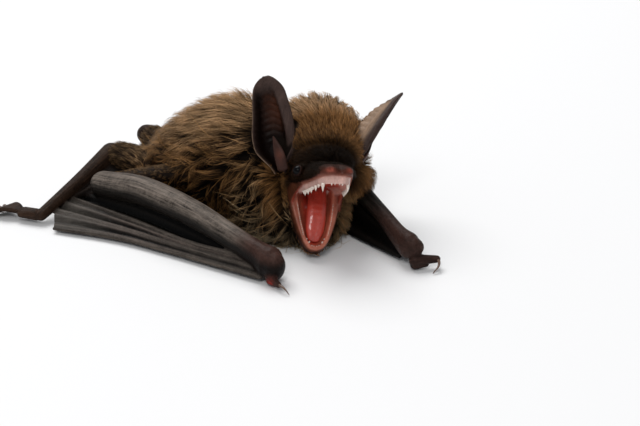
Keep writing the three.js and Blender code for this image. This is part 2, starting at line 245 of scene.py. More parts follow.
FOREARM = [(0, 33.2, 4.3, 2), (0, 24.5, 5.7, 2.1), (0, 15, 5.3, 1.9), (0, 2.2, 3.1, 1.4)]
FINGERS = {
    3: [(1.7, 0.6, 0.9, 0.8), (4.3, 15.9, 0.75, 0.6), (6.1, 24.2, 0.75, 0.6), (9.7, 33.2, 0.65, 0.45)],
    4: [(1.1, 1.9, 1.5, 0.8), (3.3, 14.6, 1.5, 0.6), (4.6, 24.5, 1.4, 0.6), (7, 36.2, 1.3, 0.45)],
    5: [(0.4, 3.2, 2.3, 0.75), (2.3, 12.8, 2.2, 0.6), (2.6, 24, 2.2, 0.55), (3.5, 38.2, 2.3, 0.45)],
}
TRUNK = [
    (5.3, -8, 10.4, 6.4, 7.6),
    (3.2, -3.5, 9.2, 8.6, 9.4),
    (2.2, 1, 8.4, 9.3, 9.2),
    (1.4, 5.5, 7.2, 8.5, 8),
    (0.4, 9.8, 5.6, 6.6, 6.1),
    (-0.5, 13, 4.4, 4.4, 4.4),
]
THROAT = [(4.4, -14.8, 4, 6, 4.4), (2.8, -7.5, 5.8, 8, 6.2)]
CROWN = [
    (0.4, -3, 2.8, 4.3, 3),
    (0.8, -1.2, 3.7, 5.8, 5.4),
    (1.3, 1.4, 4.4, 7.2, 7.7),
    (1.2, 4.6, 4.8, 8.7, 8.7),
    (0.6, 8, 4.2, 8, 7.4),
]
RUFF = [(4.7, -1.8, 1.2, 2.4, 2.8), (5.9, 1.2, 1.9, 3.3, 4.2), (5.2, 6, 2.0, 4, 5)]
TAIL = [
    (-1.2, 17.6, 4.4, 0.9), (-1.6, 21.4, 3.4, 0.7), (-2, 23.4, 1.5, 0.6),
    (-2, 20.5, 0.6, 0.5), (-1.9, 17, 0.6, 0.35),
]
# How far the lower jaw bends to one side, per square of the distance along it.
JAW_BEND = 0.006
# Where toes and their claws start, across a foot.
TOES = (-1.6, -0.8, 0, 0.8, 1.6)
# The step at which head and trunk are joined before the mouth is cut.
CORE_STEP = 0.3
# Most triangles of the skin, and most hairs in one piece of the coat.
SKIN_TRIANGLES = 188000
HAIRS_PER_PIECE = 11500
# Straight spans of a hair, the most that any channel of its tip may hold, and the side of its patch of map.
SPANS = 3
BRIGHTEST = 0.85
PATCH = 0.003
MOUTH_ROOM = [(0, 2.2, -0.6, 1.5, 0.9), (0, 0, -1.6, 2.7, 1.7), (0, -3, -3.2, 3.4, 3.1), (0, -8, -7, 3.9, 6)]


# ---- Surfaces ----


def grid_faces(rows, columns, wrap):
    """Two triangles for each cell of a grid of points; wrap joins the last column to the first."""
    i = np.arange(rows - 1)[:, None]
    j = np.arange(columns if wrap else columns - 1)[None, :]
    a = i * columns + j
    b = i * columns + (j + 1) % columns
    cells = np.stack([a, b, b + columns, a, b + columns, a + columns], axis=-1)
    return cells.reshape(-1, 3)


def many(faces, per, count):
    """The faces of count copies of a shape of per points."""
    return (faces[None] + (np.arange(count) * per)[:, None, None]).reshape(-1, 3)


def limb(stations, around=20, steps=6, up=UP, rounds=4):
    """A limb with round ends, as rings on a smooth path through its stations. The ring at angle a is
    middle + side × width × cos a + lift × height × sin a, where side is tangent × up and lift is
    side × tangent; past each end the rings shrink as a quarter circle.
    Returns the rings and, for each point, (distance along, across, above) in the limb's own measure."""
    rows = np.array([s if len(s) == 5 else (*s, s[3]) for s in stations], float)
    inner = np.linspace(0, 1, (len(rows) - 1) * steps + 1)
    cap = np.linspace(0, np.pi / 2, rounds, endpoint=False)
    t = np.concatenate([0 * cap, inner, 0 * cap + 1])
    beyond = np.concatenate([-np.cos(cap), 0 * inner, np.cos(cap[::-1])])
    share = np.concatenate([np.sin(cap), 0 * inner + 1, np.sin(cap[::-1])])
    at = smooth_path(rows, t)
    ahead, behind = (smooth_path(rows[:, :3], np.clip(t + d, 0, 1)) for d in (0.01, -0.01))
    tangent = unit(ahead - behind)
    side = unit(np.cross(tangent, up))
    lift = np.cross(side, tangent)
    middle = at[:, :3] + tangent * (np.minimum(at[:, 3], at[:, 4]) * beyond)[:, None]
    angle = np.linspace(0, 2 * np.pi, around, endpoint=False)
    across = (at[:, 3] * share)[:, None] * np.cos(angle)
    above = (at[:, 4] * share)[:, None] * np.sin(angle)
    points = middle[:, None] + across[..., None] * side[:, None] + above[..., None] * lift[:, None]
    run = np.concatenate([[0], np.cumsum(np.linalg.norm(np.diff(middle, axis=0), axis=1))])
    own = np.stack([np.broadcast_to(run[:, None], across.shape), across, above], axis=-1)
    return points, own


def leaf(surface, wall, rows, columns):
    """A thin closed sheet: surface(u, v) moved half its wall to either side along its normal, the two faces
    joined round their edges. Returns the rings and (distance along v, distance along u, face) per point."""
    u = np.linspace(0, 1, columns)[None, :]
    v = np.linspace(0, 1, rows)[:, None]
    middle = surface(u, v)
    du = np.gradient(middle, axis=1)
    dv = np.gradient(middle, axis=0)
    normal = unit(np.cross(du, dv))
    edge = np.sqrt(np.clip(1 - (2 * u - 1) ** 8, 0, 1))[..., None] * 0.5 * wall
    rings = np.concatenate([middle + normal * edge, (middle - normal * edge)[:, ::-1]], axis=1)
    rings = np.concatenate([middle_line(rings[:1]), rings, middle_line(rings[-1:])])
    along = np.cumsum(np.linalg.norm(dv, axis=-1), axis=0)
    across = np.cumsum(np.linalg.norm(du, axis=-1), axis=1)
    face = np.ones_like(along)
    own = np.stack([along, across, face], axis=-1)
    back = np.stack([along, across, -face], axis=-1)[:, ::-1]
    own = np.concatenate([own, back], axis=1)
    return rings, np.concatenate([own[:1], own, own[-1:]])


def middle_line(ring):
    """The ring pressed flat onto the line half way between its two faces."""
    half = ring.shape[1] // 2
    line = (ring[:, :half] + ring[:, half:][:, ::-1]) / 2
    return np.concatenate([line, line[:, ::-1]], axis=1)


def profile_lens(outline, spine, reach, height):
    """A closed lens round a spine: u runs round the outline and v through the profile; a point stands in
    plan at spine(u) + reach(v) × (outline(u) − spine(u)), at the height that the profile gives there."""
    plan = spine[None] + reach[:, None, None] * (outline - spine)[None]
    return np.concatenate([plan, height(plan[..., 1])[..., None]], axis=-1)


class Shell:
    """A surface with what the skin has to know at each of its points: colour, shine, length and lie of the
    coat, its own measure for streaks, and how much it is streaked, wrinkled or wet."""

    KEYS = {"tint": 3, "gloss": 1, "coat": 1, "lie": 3, "grain": 3, "streak": 1, "wrinkle": 1, "wet": 1}

    def __init__(self, points, own, place=BODY, lie=(0, 1, 0), **values):
        rows, columns = points.shape[:2]
        self.points = place.out(points.reshape(-1, 3))
        self.faces = grid_faces(rows, columns, True)
        given = {"gloss": 0.55, "coat": 0.0, "streak": 0.0, "wrinkle": 0.0, "wet": 0.0, **values}
        given["grain"] = own.reshape(-1, 3)
        given["lie"] = np.asarray(lie, float).reshape(-1, 3) @ place.turn.T
        self.values = {}
        for key, size in self.KEYS.items():
            value = np.asarray(given[key], float)
            shape = (len(self.points),) if size == 1 else (len(self.points), size)
            if value.ndim >= len(shape):
                value = value.reshape(-1, *shape[1:])
            self.values[key] = np.broadcast_to(value, shape)


def joined(shells):
    """All shells as one set of points, faces and values."""
    starts = np.cumsum([0] + [len(s.points) for s in shells[:-1]])
    points = np.concatenate([s.points for s in shells])
    faces = np.concatenate([s.faces + start for s, start in zip(shells, starts)])
    values = {key: np.concatenate([s.values[key] for s in shells]) for key in Shell.KEYS}
    return points, faces, values


# ---- Meshes and materials ----


def mesh_piece(name, points, faces, values=None, smooth=True):
    """A new mesh piece from millimetre points, triangles and values per point."""
    mesh = bpy.data.meshes.new(name)
    mesh.vertices.add(len(points))
    mesh.vertices.foreach_set("co", (np.asarray(points) * MM).astype(np.float32).ravel())
    mesh.loops.add(len(faces) * 3)
    mesh.loops.foreach_set("vertex_index", faces.astype(np.int32).ravel())
    mesh.polygons.add(len(faces))
    mesh.polygons.foreach_set("loop_start", np.arange(0, len(faces) * 3, 3, dtype=np.int32))
    mesh.polygons.foreach_set("use_smooth", np.full(len(faces), smooth))
    mesh.update(calc_edges=True)
    write_values(mesh, values or {})
    obj = bpy.data.objects.new(name, mesh)
    bpy.context.scene.collection.objects.link(obj)
    return obj


def write_values(mesh, values):
    """Stores values on a mesh, one for each point: a colour, a vector or a number."""
    for key, value in values.items():
        if key in mesh.attributes:
            mesh.attributes.remove(mesh.attributes[key])
        value = np.asarray(value, np.float32)
        if key == "tint":
            value = np.concatenate([value, np.ones((len(value), 1), np.float32)], axis=1)
            mesh.attributes.new(key, "FLOAT_COLOR", "POINT").data.foreach_set("color", value.ravel())
        elif value.ndim == 2:
            mesh.attributes.new(key, "FLOAT_VECTOR", "POINT").data.foreach_set("vector", value.ravel())
        else:
            mesh.attributes.new(key, "FLOAT", "POINT").data.foreach_set("value", value)


def read_values(mesh, keys):
    """The values that a mesh holds under these names, one for each point."""
    found = {}
    for key in keys:
        data = mesh.attributes[key]
        size = {"FLOAT": 1, "FLOAT_VECTOR": 3, "FLOAT_COLOR": 4}[data.data_type]
        field = {1: "value", 3: "vector", 4: "color"}[size]
        flat = np.empty(len(mesh.vertices) * size, np.float32)
        data.data.foreach_get(field, flat)
        found[key] = flat if size == 1 else flat.reshape(-1, size)[:, :3]
    return found


def read_points(mesh):
    """The points of a mesh in millimetres."""
    flat = np.empty(len(mesh.vertices) * 3, np.float32)
    mesh.vertices.foreach_get("co", flat)
    return flat.reshape(-1, 3) / MM


def reworked(mesh, change):
    """Takes a mesh through bmesh: change(bm) edits it there."""
    bm = bmesh.new()
    bm.from_mesh(mesh)
    bm.verts.ensure_lookup_table()
    change(bm)
    bm.to_mesh(mesh)
    bm.free()
    mesh.update()


def tidy(obj):
    """Merges doubled points, drops empty faces and turns every face outward."""

    def change(bm):
        bmesh.ops.remove_doubles(bm, verts=bm.verts, dist=1e-7)
        bmesh.ops.dissolve_degenerate(bm, edges=bm.edges, dist=1e-8)
        bmesh.ops.recalc_face_normals(bm, faces=bm.faces)

    reworked(obj.data, change)


def apply_modifier(obj, kind, **settings):
    """Gives a piece a modifier with these settings and applies it."""
    modifier = obj.modifiers.new(kind.title(), kind)
    for key, value in settings.items():
        setattr(modifier, key, value)
    bpy.context.view_layer.objects.active = obj
    with bpy.context.temp_override(object=obj, active_object=obj, selected_objects=[obj]):
        bpy.ops.object.modifier_apply(modifier=modifier.name)


def remesh(obj, step):
    """Joins overlapping closed surfaces into one skin of small even faces, which keeps their values."""
    obj.data.remesh_voxel_size = step * MM
    obj.data.use_remesh_preserve_attributes = True
    bpy.context.view_layer.objects.active = obj
    obj.select_set(True)
    bpy.ops.object.voxel_remesh()
    obj.select_set(False)
    if not len(obj.data.vertices):
        raise RuntimeError(f"{obj.name} came out empty")


def edges_of(mesh):
    """The two ends of every edge of a mesh."""
    edges = np.empty(len(mesh.edges) * 2, np.int32)
    mesh.edges.foreach_get("vertices", edges)
    return edges.reshape(-1, 2).T


def blended(mesh, values, rounds):
    """Values spread over the surface: each round takes half a point's value and half its neighbours' mean."""
    a, b = edges_of(mesh)
    count = len(mesh.vertices)
    degree = np.maximum(np.bincount(a, minlength=count) + np.bincount(b, minlength=count), 1)
    made = {}
    for key, value in values.items():
        columns = value.reshape(count, -1).T.astype(float)
        for _ in range(rounds):
            around = [(np.bincount(a, c[b], count) + np.bincount(b, c[a], count)) / degree for c in columns]
            columns = 0.5 * columns + 0.5 * np.stack(around)
        made[key] = columns.T.reshape(value.shape)
    return made


class Nodes:
    """A short way to lay out and link a material's or a group's nodes."""

    def __init__(self, tree):
        self.tree, self.count = tree, 0

    def give(self, socket, value):
        """Links another socket to this one, or sets it to a constant."""
        if isinstance(value, bpy.types.NodeSocket):
            self.tree.links.new(value, socket)
        else:
            socket.default_value = value

    def add(self, kind, inputs=None, **settings):
        """A new node with the given inputs and settings, placed in rows of eight."""
        node = self.tree.nodes.new(kind)
        node.location = (200 * (self.count % 8) - 1400, -220 * (self.count // 8))
        self.count += 1
        for key, value in settings.items():
            setattr(node, key, value)
        for key, value in (inputs or {}).items():
            self.give(node.inputs[key], value)
        return node

    def maths(self, operation, a, b=0.5):
        """The result of one arithmetic step on two values."""
        return self.add("ShaderNodeMath", {0: a, 1: b}, operation=operation).outputs[0]

    def noise(self, at, scale, detail, **inputs):
        """The outputs of a noise texture."""
        inputs = {"Vector": at, "Scale": scale, "Detail": detail, **inputs}
        return self.add("ShaderNodeTexNoise", inputs).outputs

    def dimmed(self, tint, brightness):
        """A colour times a brightness."""
        node = self.add("ShaderNodeMix", data_type="RGBA", blend_type="MULTIPLY")
        grey = self.add("ShaderNodeCombineColor", {k: brightness for k in range(3)}).outputs[0]
        sockets = {s.identifier: s for s in (*node.inputs, *node.outputs)}
        for name, value in (("Factor_Float", 1.0), ("A_Color", tint), ("B_Color", grey)):
            self.give(sockets[name], value)
        return sockets["Result_Color"]

    def value_of(self, name, output="Fac"):
        """A value that the mesh holds at each of its points."""
        return self.add("ShaderNodeAttribute", attribute_name=name).outputs[output]

    def group(self, tree, **values):
        """The output of a node group with these inputs."""
        node = self.add("ShaderNodeGroup", node_tree=tree)
        for key, value in values.items():
            node.inputs[key.replace("_", " ")].default_value = value
        return node.outputs[0]


def effect_group(name, inputs):
    """An empty shader node group with float inputs, and its Nodes with the group's input node."""
    tree = bpy.data.node_groups.new(name, "ShaderNodeTree")
    for label, default in inputs.items():
        socket = tree.interface.new_socket(name=label, in_out="INPUT", socket_type="NodeSocketFloat")
        socket.default_value = default
    nodes = Nodes(tree)
    return tree, nodes, nodes.add("NodeGroupInput").outputs


def close_group(tree, nodes, label, value):
    """Ends a node group with its one output, fed by value."""
    tree.interface.new_socket(name=label, in_out="OUTPUT", socket_type="NodeSocketFloat")
    tree.links.new(value, nodes.add("NodeGroupOutput").inputs[label])
    return tree


def mottle_group():
    """Uneven pigment: a brightness round 1 that drifts over millimetres and again over tenths of one."""
    if "Mottle" in bpy.data.node_groups:
        return bpy.data.node_groups["Mottle"]
    tree, nodes, given = effect_group("Mottle", {"Patch size": 1.5, "Fleck size": 0.25, "Amount": 0.3})
    at = nodes.add("ShaderNodeTexCoord").outputs["Object"]
    wide = nodes.noise(at, nodes.maths("DIVIDE", 1000.0, given["Patch size"]), 3.0)["Fac"]
    fine = nodes.noise(at, nodes.maths("DIVIDE", 1000.0, given["Fleck size"]), 2.0)["Fac"]
    both = nodes.maths("ADD", wide, nodes.maths("MULTIPLY", fine, 0.6))
    amount = nodes.maths("MULTIPLY", given["Amount"], 2.6)
    swing = nodes.maths("MULTIPLY", nodes.maths("SUBTRACT", both, 0.8), amount)
    return close_group(tree, nodes, "Brightness", nodes.maths("ADD", swing, 1.0))


def crease_group():
    """Creased skin: the height of small cells with sunken borders, warped by noise."""
    if "Creases" in bpy.data.node_groups:
        return bpy.data.node_groups["Creases"]
    tree, nodes, given = effect_group("Creases", {"Size": 0.35, "Depth": 1.0})
    at = nodes.add("ShaderNodeTexCoord").outputs["Object"]
    scale = nodes.maths("DIVIDE", 1000.0, given["Size"])
    warp = nodes.noise(at, nodes.maths("MULTIPLY", scale, 0.7), 2.0)["Color"]
    shift = {0: warp, 1: (0.0003, 0.0003, 0.0003), 2: at}
    moved = nodes.add("ShaderNodeVectorMath", shift, operation="MULTIPLY_ADD").outputs[0]
    cells = nodes.add("ShaderNodeTexVoronoi", {"Vector": moved, "Scale": scale}, feature="SMOOTH_F1")
    fine = nodes.noise(at, nodes.maths("MULTIPLY", scale, 2.5), 3.0)["Fac"]
    high = nodes.maths("SUBTRACT", nodes.maths("MULTIPLY", fine, 0.5), cells.outputs["Distance"])
    return close_group(tree, nodes, "Height", nodes.maths("MULTIPLY", high, given["Depth"]))


def new_material(name, **constants):
    """A material with one Principled shader, whose own sockets hold what is the same all over."""
    material = bpy.data.materials.new(name)
    material.use_nodes = True
    nodes = Nodes(material.node_tree)
    shader = next(n for n in material.node_tree.nodes if n.type == "BSDF_PRINCIPLED")
    for key, value in constants.items():
        shader.inputs[key.replace("_", " ")].default_value = value
    return material, nodes, shader


def skin_material():
    """Naked and furred skin: colour and shine from the skin's own values, broken up by mottling, with
    lengthwise streaks on the wings and creases on the face."""
    material, nodes, shader = new_material("Bat skin", IOR=1.42, Specular_IOR_Level=0.11, Coat_Roughness=0.07)
    mottle = nodes.group(mottle_group(), Patch_size=1.6, Fleck_size=0.22, Amount=0.34)
    grain = nodes.value_of("grain", "Vector")
    along, across = (
        nodes.add("ShaderNodeVectorMath", {0: grain, 1: scale}, operation="MULTIPLY").outputs[0]
        for scale in ((0.16, 3.4, 3.4), (4.5, 1.3, 1.3))
    )
    streaks = nodes.noise(along, 1.0, 3.0, Roughness=0.65)["Fac"]
    specks = nodes.noise(across, 1.0, 4.0, Roughness=0.7)["Fac"]
    both = nodes.maths("ADD", streaks, nodes.maths("MULTIPLY", specks, 0.45))
    streak = nodes.maths("SUBTRACT", both, 0.72)
    streaked = nodes.maths("MULTIPLY", streak, nodes.value_of("streak"))
    bright = nodes.maths("MAXIMUM", nodes.maths("ADD", mottle, nodes.maths("MULTIPLY", streaked, 4.0)), 0.12)
    nodes.give(shader.inputs["Base Color"], nodes.dimmed(nodes.value_of("tint", "Color"), bright))
    creases = nodes.group(crease_group(), Size=0.42, Depth=1.0)
    fine = nodes.group(crease_group(), Size=0.16, Depth=0.35)
    creased = nodes.maths("MULTIPLY", nodes.maths("ADD", creases, fine), nodes.value_of("wrinkle"))
    height = nodes.maths("ADD", nodes.maths("MULTIPLY", streaked, 1.6), creased)
    bumped = nodes.add("ShaderNodeBump", {"Strength": 0.75, "Distance": 0.00012, "Height": height})
    nodes.give(shader.inputs["Normal"], bumped.outputs["Normal"])
    rough = nodes.maths("ADD", nodes.value_of("gloss"), nodes.maths("MULTIPLY", streak, 0.25))
    nodes.give(shader.inputs["Roughness"], rough)
    nodes.give(shader.inputs["Coat Weight"], nodes.value_of("wet"))
    return material


def plain_material(name, tint, roughness, patch, fleck, amount, bump, coat=0.0, specular=0.5):
    """One colour broken up by mottling, with fine bump."""
    constants = {"Coat_Weight": coat, "Specular_IOR_Level": specular, "Coat_Roughness": 0.08}
    material, nodes, shader = new_material(name, **constants)
    mottle = nodes.group(mottle_group(), Patch_size=patch, Fleck_size=fleck, Amount=amount)
    nodes.give(shader.inputs["Base Color"], nodes.dimmed((*tint, 1), mottle))
    uneven = nodes.maths("MULTIPLY", nodes.maths("SUBTRACT", mottle, 1.0), 0.3)
    nodes.give(shader.inputs["Roughness"], nodes.maths("ADD", uneven, roughness))
    if bump:
        creases = nodes.group(crease_group(), Size=fleck, Depth=1.0)
        bumped = nodes.add("ShaderNodeBump", {"Strength": bump, "Distance": 0.00006, "Height": creases})
        nodes.give(shader.inputs["Normal"], bumped.outputs["Normal"])
    return material


def hair_material():
    """Hair: its colour runs from root to tip in the tufts' own values, with a soft broken shine."""
    material, nodes, shader = new_material("Bat coat", Roughness=0.45, Specular_IOR_Level=0.06)
    mottle = nodes.group(mottle_group(), Patch_size=2.6, Fleck_size=0.5, Amount=0.28)
    nodes.give(shader.inputs["Base Color"], nodes.dimmed(nodes.value_of("tint", "Color"), mottle))
    return material


def finish_piece(obj, material, slot, *nodes):
    """Gives a piece its material and its ride, and hides the nodes that it stands for. The slot is not used.
    """
    obj.data.materials.clear()
    obj.data.materials.append(material)
    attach(obj, "root")
    if nodes:
        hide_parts(*nodes)


# ---- The skin's parts ----


def furred(stations, depth, place=BODY, coat=1.0, lie=(0, 1, 0), **options):
    """A limb set in from the coat's outline by the coat's depth."""
    inner = [(*s[:3], s[3] - depth, (s[4] if len(s) == 5 else s[3]) - depth) for s in stations]
    points, own = limb(inner, **options)
    return Shell(points, own, place, tint=tone("under_fur"), coat=coat, lie=lie, gloss=0.7)


def ring_piece(name, points, place=BODY):
    """A mesh piece from a limb's rings, closed and with its faces outward."""
    obj = mesh_piece(name, place.out(points.reshape(-1, 3)), grid_faces(*points.shape[:2], True))
    tidy(obj)
    return obj


def trunk_shells():
    """The trunk and the throat, set in by the depth of the coat, and the low fold of skin beside them."""
    depth = sizes().coat_depth / MM
    trunk = furred(TRUNK, depth, coat=sizes().flank_hair / MM, lie=(-0.05, 0.8, -0.55), around=40, steps=6)
    throat = furred(THROAT, depth * 0.8, coat=3.4, lie=(0, 0.55, -0.75), around=32, steps=8)
    fold = [(1.8, -13.5, 2.8, 1.6), (-0.3, -9, 2.9, 1.8), (-0.9, -4, 3.0, 1.9), (-3.0, 1, 3.2, 1.7)]
    return [trunk, throat, furred(fold, 0.0, coat=3.2, lie=(-0.35, 0.5, -0.75), around=24, steps=8)]


def crown_shells():
    """The crown, set in least at the brow, and the ruff beside it."""
    depth = sizes().head_coat_depth / MM
    depths = depth * np.array([0.45, 0.75, 1, 1.15, 1.2])
    set_in = [(*s[:3], s[3] - d, s[4] - d) for s, d in zip(CROWN, depths)]
    points, own = limb(set_in, around=44, steps=7)
    coat = np.interp(points[..., 1], [-4.5, -2, 2], [1.15, 2.0, sizes().head_hair / MM])
    crown = Shell(points, own, HEAD, tint=tone("under_fur"), coat=coat, lie=(0, 1, 0.12), gloss=0.7)
    ruff = furred(RUFF, depth * 1.1, HEAD, coat=2.9, lie=(0.25, 0.8, -0.6), around=32)
    return [crown, ruff]


def orbit_shells(side):
    """The swelling that the eyeball sits in and the lids, a ring of lid tube round the eye's own axis."""
    sign = SIDES[side]["sign"]
    eye = np.array(EYES[side])
    axis = unit([sign * 0.86, -0.48, 0.16])
    hollow = [(*(eye - axis * 0.75 + (0, 1.1, -0.1)), 0.95, 1.0), (*(eye - axis * 0.5), 0.82, 0.84)]
    points, own = limb(hollow, around=24, steps=5)
    dark = tone("muzzle", 0.6)
    swelling = Shell(points, own, HEAD, tint=dark, coat=0.8, lie=(sign * 0.4, 1, 0.35), wrinkle=0.5)
    across = unit(np.cross(axis, UP))
    lift = np.cross(across, axis)
    turn = np.linspace(0, 2 * np.pi, 40, endpoint=False)[:, None]
    tube = np.linspace(0, 2 * np.pi, 14, endpoint=False)[None, :]
    radius = EYE_RADIUS * 0.98 + 0.15 * np.cos(tube)
    ring = radius[..., None] * (np.cos(turn)[..., None] * across + 0.86 * np.sin(turn)[..., None] * lift)
    lid = eye + ring + (0.2 * np.sin(tube) + 0.16)[..., None] * axis
    lid = np.concatenate([lid, lid[:1]])
    own = np.stack(np.broadcast_arrays(turn * 0.7, tube * 0.2, 0 * tube), axis=-1)
    lids = Shell(lid, np.broadcast_to(own[:1], lid.shape), HEAD, tint=dark, gloss=0.4, wrinkle=0.5)
    return [swelling, lids]


def jaw_outline(half, tip, rear):
    """A jaw from above: a smooth path up one side, round the tip and down the other, and the spine between
    them that its profile closes to."""
    outline = smooth_path([*[(-x, y) for x, y in half], (0, tip), *reversed(half)], np.linspace(0, 1, 141))
    return outline, np.stack([0 * outline[:, 0], np.maximum(outline[:, 1], rear)], axis=1)


def jaw_profile(keys):
    """A smooth path through a profile's keys, each (reach, share of the height, offset, colour, coat,
    wetness): its rows, and the number of the key that each row has come to."""
    table = np.array([(*k[:3], *k[3], *k[4:]) for k in keys], float)
    return smooth_path(table, np.linspace(0, 1, 91)), np.linspace(0, len(keys) - 1, 91)[:, None]


def muzzle_shell():
    """The upper jaw as a profile carried round its outline: from the bridge of the nose over the side and
    the curled lip, down the gum and under to the ridged palate. Nostril pads, the groove between them and
    the swollen sides of the nose are hills and pits added along the surface's own direction."""
    half = [(3.5, 0.5), (3.5, -1.6), (3.3, -4.2), (2.85, -6), (2.4, -8), (1.95, -9.55), (1.15, -10.4)]
    outline, spine = jaw_outline(half, -10.62, -8.3)
    lip = np.interp(outline[:, 1], [-10.7, -9.6, -8, -6, -4.2, -1.6], [0.3, 0.25, 0.0, -0.3, -0.5, -0.3])
    profile, key = jaw_profile([
        (0.00, 1.00, 0.00, tone("muzzle"), 0.9, 0),
        (0.35, 0.97, 0.00, tone("muzzle"), 0.9, 0),
        (0.66, 0.84, 0.05, tone("muzzle"), 0.7, 0),
        (0.88, 0.55, 0.25, tone("muzzle"), 0.4, 0),
        (0.98, 0.18, 0.45, tone("muzzle", 1.2) + (0.022, 0.003, 0.001), 0.2, 0),
        (1.01, 0.00, 0.38, tone("muzzle", 1.2) + (0.05, 0.010, 0.006), 0.1, 0.1),
        (0.99, 0.00, 0.10, tone("lip", 0.6), 0, 0.2),
        (0.94, 0.00, 0.02, tone("lip", 0.9), 0, 0.4),
        (0.90, 0.00, 0.12, tone("lip"), 0, 0.4),
        (0.885, 0.00, -0.16, tone("gum"), 0, 0.4),
        (0.87, 0.00, -0.62, tone("gum"), 0, 0.4),
        (0.81, 0.00, -0.98, tone("gum"), 0, 0.4),
        (0.72, 0.00, -0.90, tone("gum", (1.0, 0.8, 0.76)), 0, 0.5),
        (0.62, 0.00, -0.35, tone("gum", (1.0, 0.86, 0.83)), 0, 0.5),
        (0.38, 0.00, 0.10, tone("gum", (0.9, 0.55, 0.5)), 0, 0.5),
        (0.00, 0.00, 0.25, tone("gum", (0.8, 0.38, 0.32)), 0, 0.5),
    ])
    share, offset = profile[:, 1:2], profile[:, 2:3]

    def height(y):
        top = np.interp(y, [-10.7, -9.6, -8, -6, -4, -1.6], [1.75, 2.06, 2.14, 2.25, 2.7, 3.0])
        return share * top + (1 - share) * lip[None, :] + offset

    points = profile_lens(outline, spine, profile[:, 0], height)
    outside, inside = ease(1.02, 0.9, key / 5), ease(12.5, 14, key)
    x, y, z = columns_of(points)
    push = unit(np.stack([x * 1.2, y + 6.5, z - 0.6], axis=-1))
    hills = 0 * x
    # The middle of the nose stands a little to the left of the head's.
    nose = 0.35
    for sign in (-1, 1):
        hills += 0.42 * bump_at(points, (sign * 1.3 + nose, -10.2, 1.25), 0.8)
        hills -= 0.6 * bump_at(points, (sign * 1.5 + nose, -10.55, 1.2), 0.26)
        hills += 0.22 * bump_at(points, (sign * 2.7, -7.0, 1.3), 1.4)
        hills += 0.12 * bump_at(points, (sign * 1.6, -8.6, 2.2), 0.6)
    hills -= 0.3 * np.exp(-(((x - nose) / 0.28) ** 2)) * ease(-9.2, -10.2, y)
    hills -= 0.14 * np.exp(-((x / 0.5) ** 2)) * ease(-5.5, -7, y)
    points = points + push * (hills * outside)[..., None]
    x, y, z = columns_of(points)
    x *= np.where(x > 0, 1.16, 1.0)
    z += 0.09 * np.sin(y * 5.2 + np.abs(x) * 1.2) * inside
    tint = np.broadcast_to(profile[:, None, 3:6], points.shape)
    # The rim of each nostril is pink; its pit is painted dark as shade.
    for sign in (-1, 1):
        rim = bump_at(points * (1, 1, 1.6), (sign * 1.45 + nose, -10.6, 1.72), 0.49) * outside
        painted_pit_shade = bump_at(points, (sign * 1.5 + nose, -10.35, 1.2), 0.2) * outside
        tint = mix(tint, tone("nostril"), np.clip(1.1 * rim, 0, 1))
        tint = tint * (1 - 0.9 * np.clip(1.2 * painted_pit_shade, 0, 1))[..., None]
    gum = ease(8.4, 9.2, key) * ease(12.6, 11.8, key)
    tint = tint * (1 + (0.2 * gum * np.sin(9.5 * y + 2.5 * np.sin(1.9 * y))))[..., None]
    tint = mix(tint, tone("mouth"), ease(-7.5, -4.5, y) * inside)
    rear = ease(-8.8, -6.0, y + 0.9 * (2.4 - z)) * outside
    tint = mix(tint, tone("under_fur", 0.7), rear)
    tint = mix(tint, tone("cheek", 0.25), ease(-3.9, -2.6, y) * (key < 9.5))
    coat = np.maximum(profile[:, 6:7] * ease(-9.8, -7.0, y) * 1.5, 1.5 * rear)
    wet = np.broadcast_to(profile[:, 7:8], coat.shape)
    own = np.stack([y, x, z], axis=-1)
    wrinkle = 0.9 * outside + 0.15 + 0 * coat
    values = {"tint": tint, "gloss": 0.5 - 0.22 * wet, "coat": coat, "wrinkle": wrinkle, "wet": wet}
    return Shell(points, own, HEAD, lie=(0, 1, 0.3), **values)


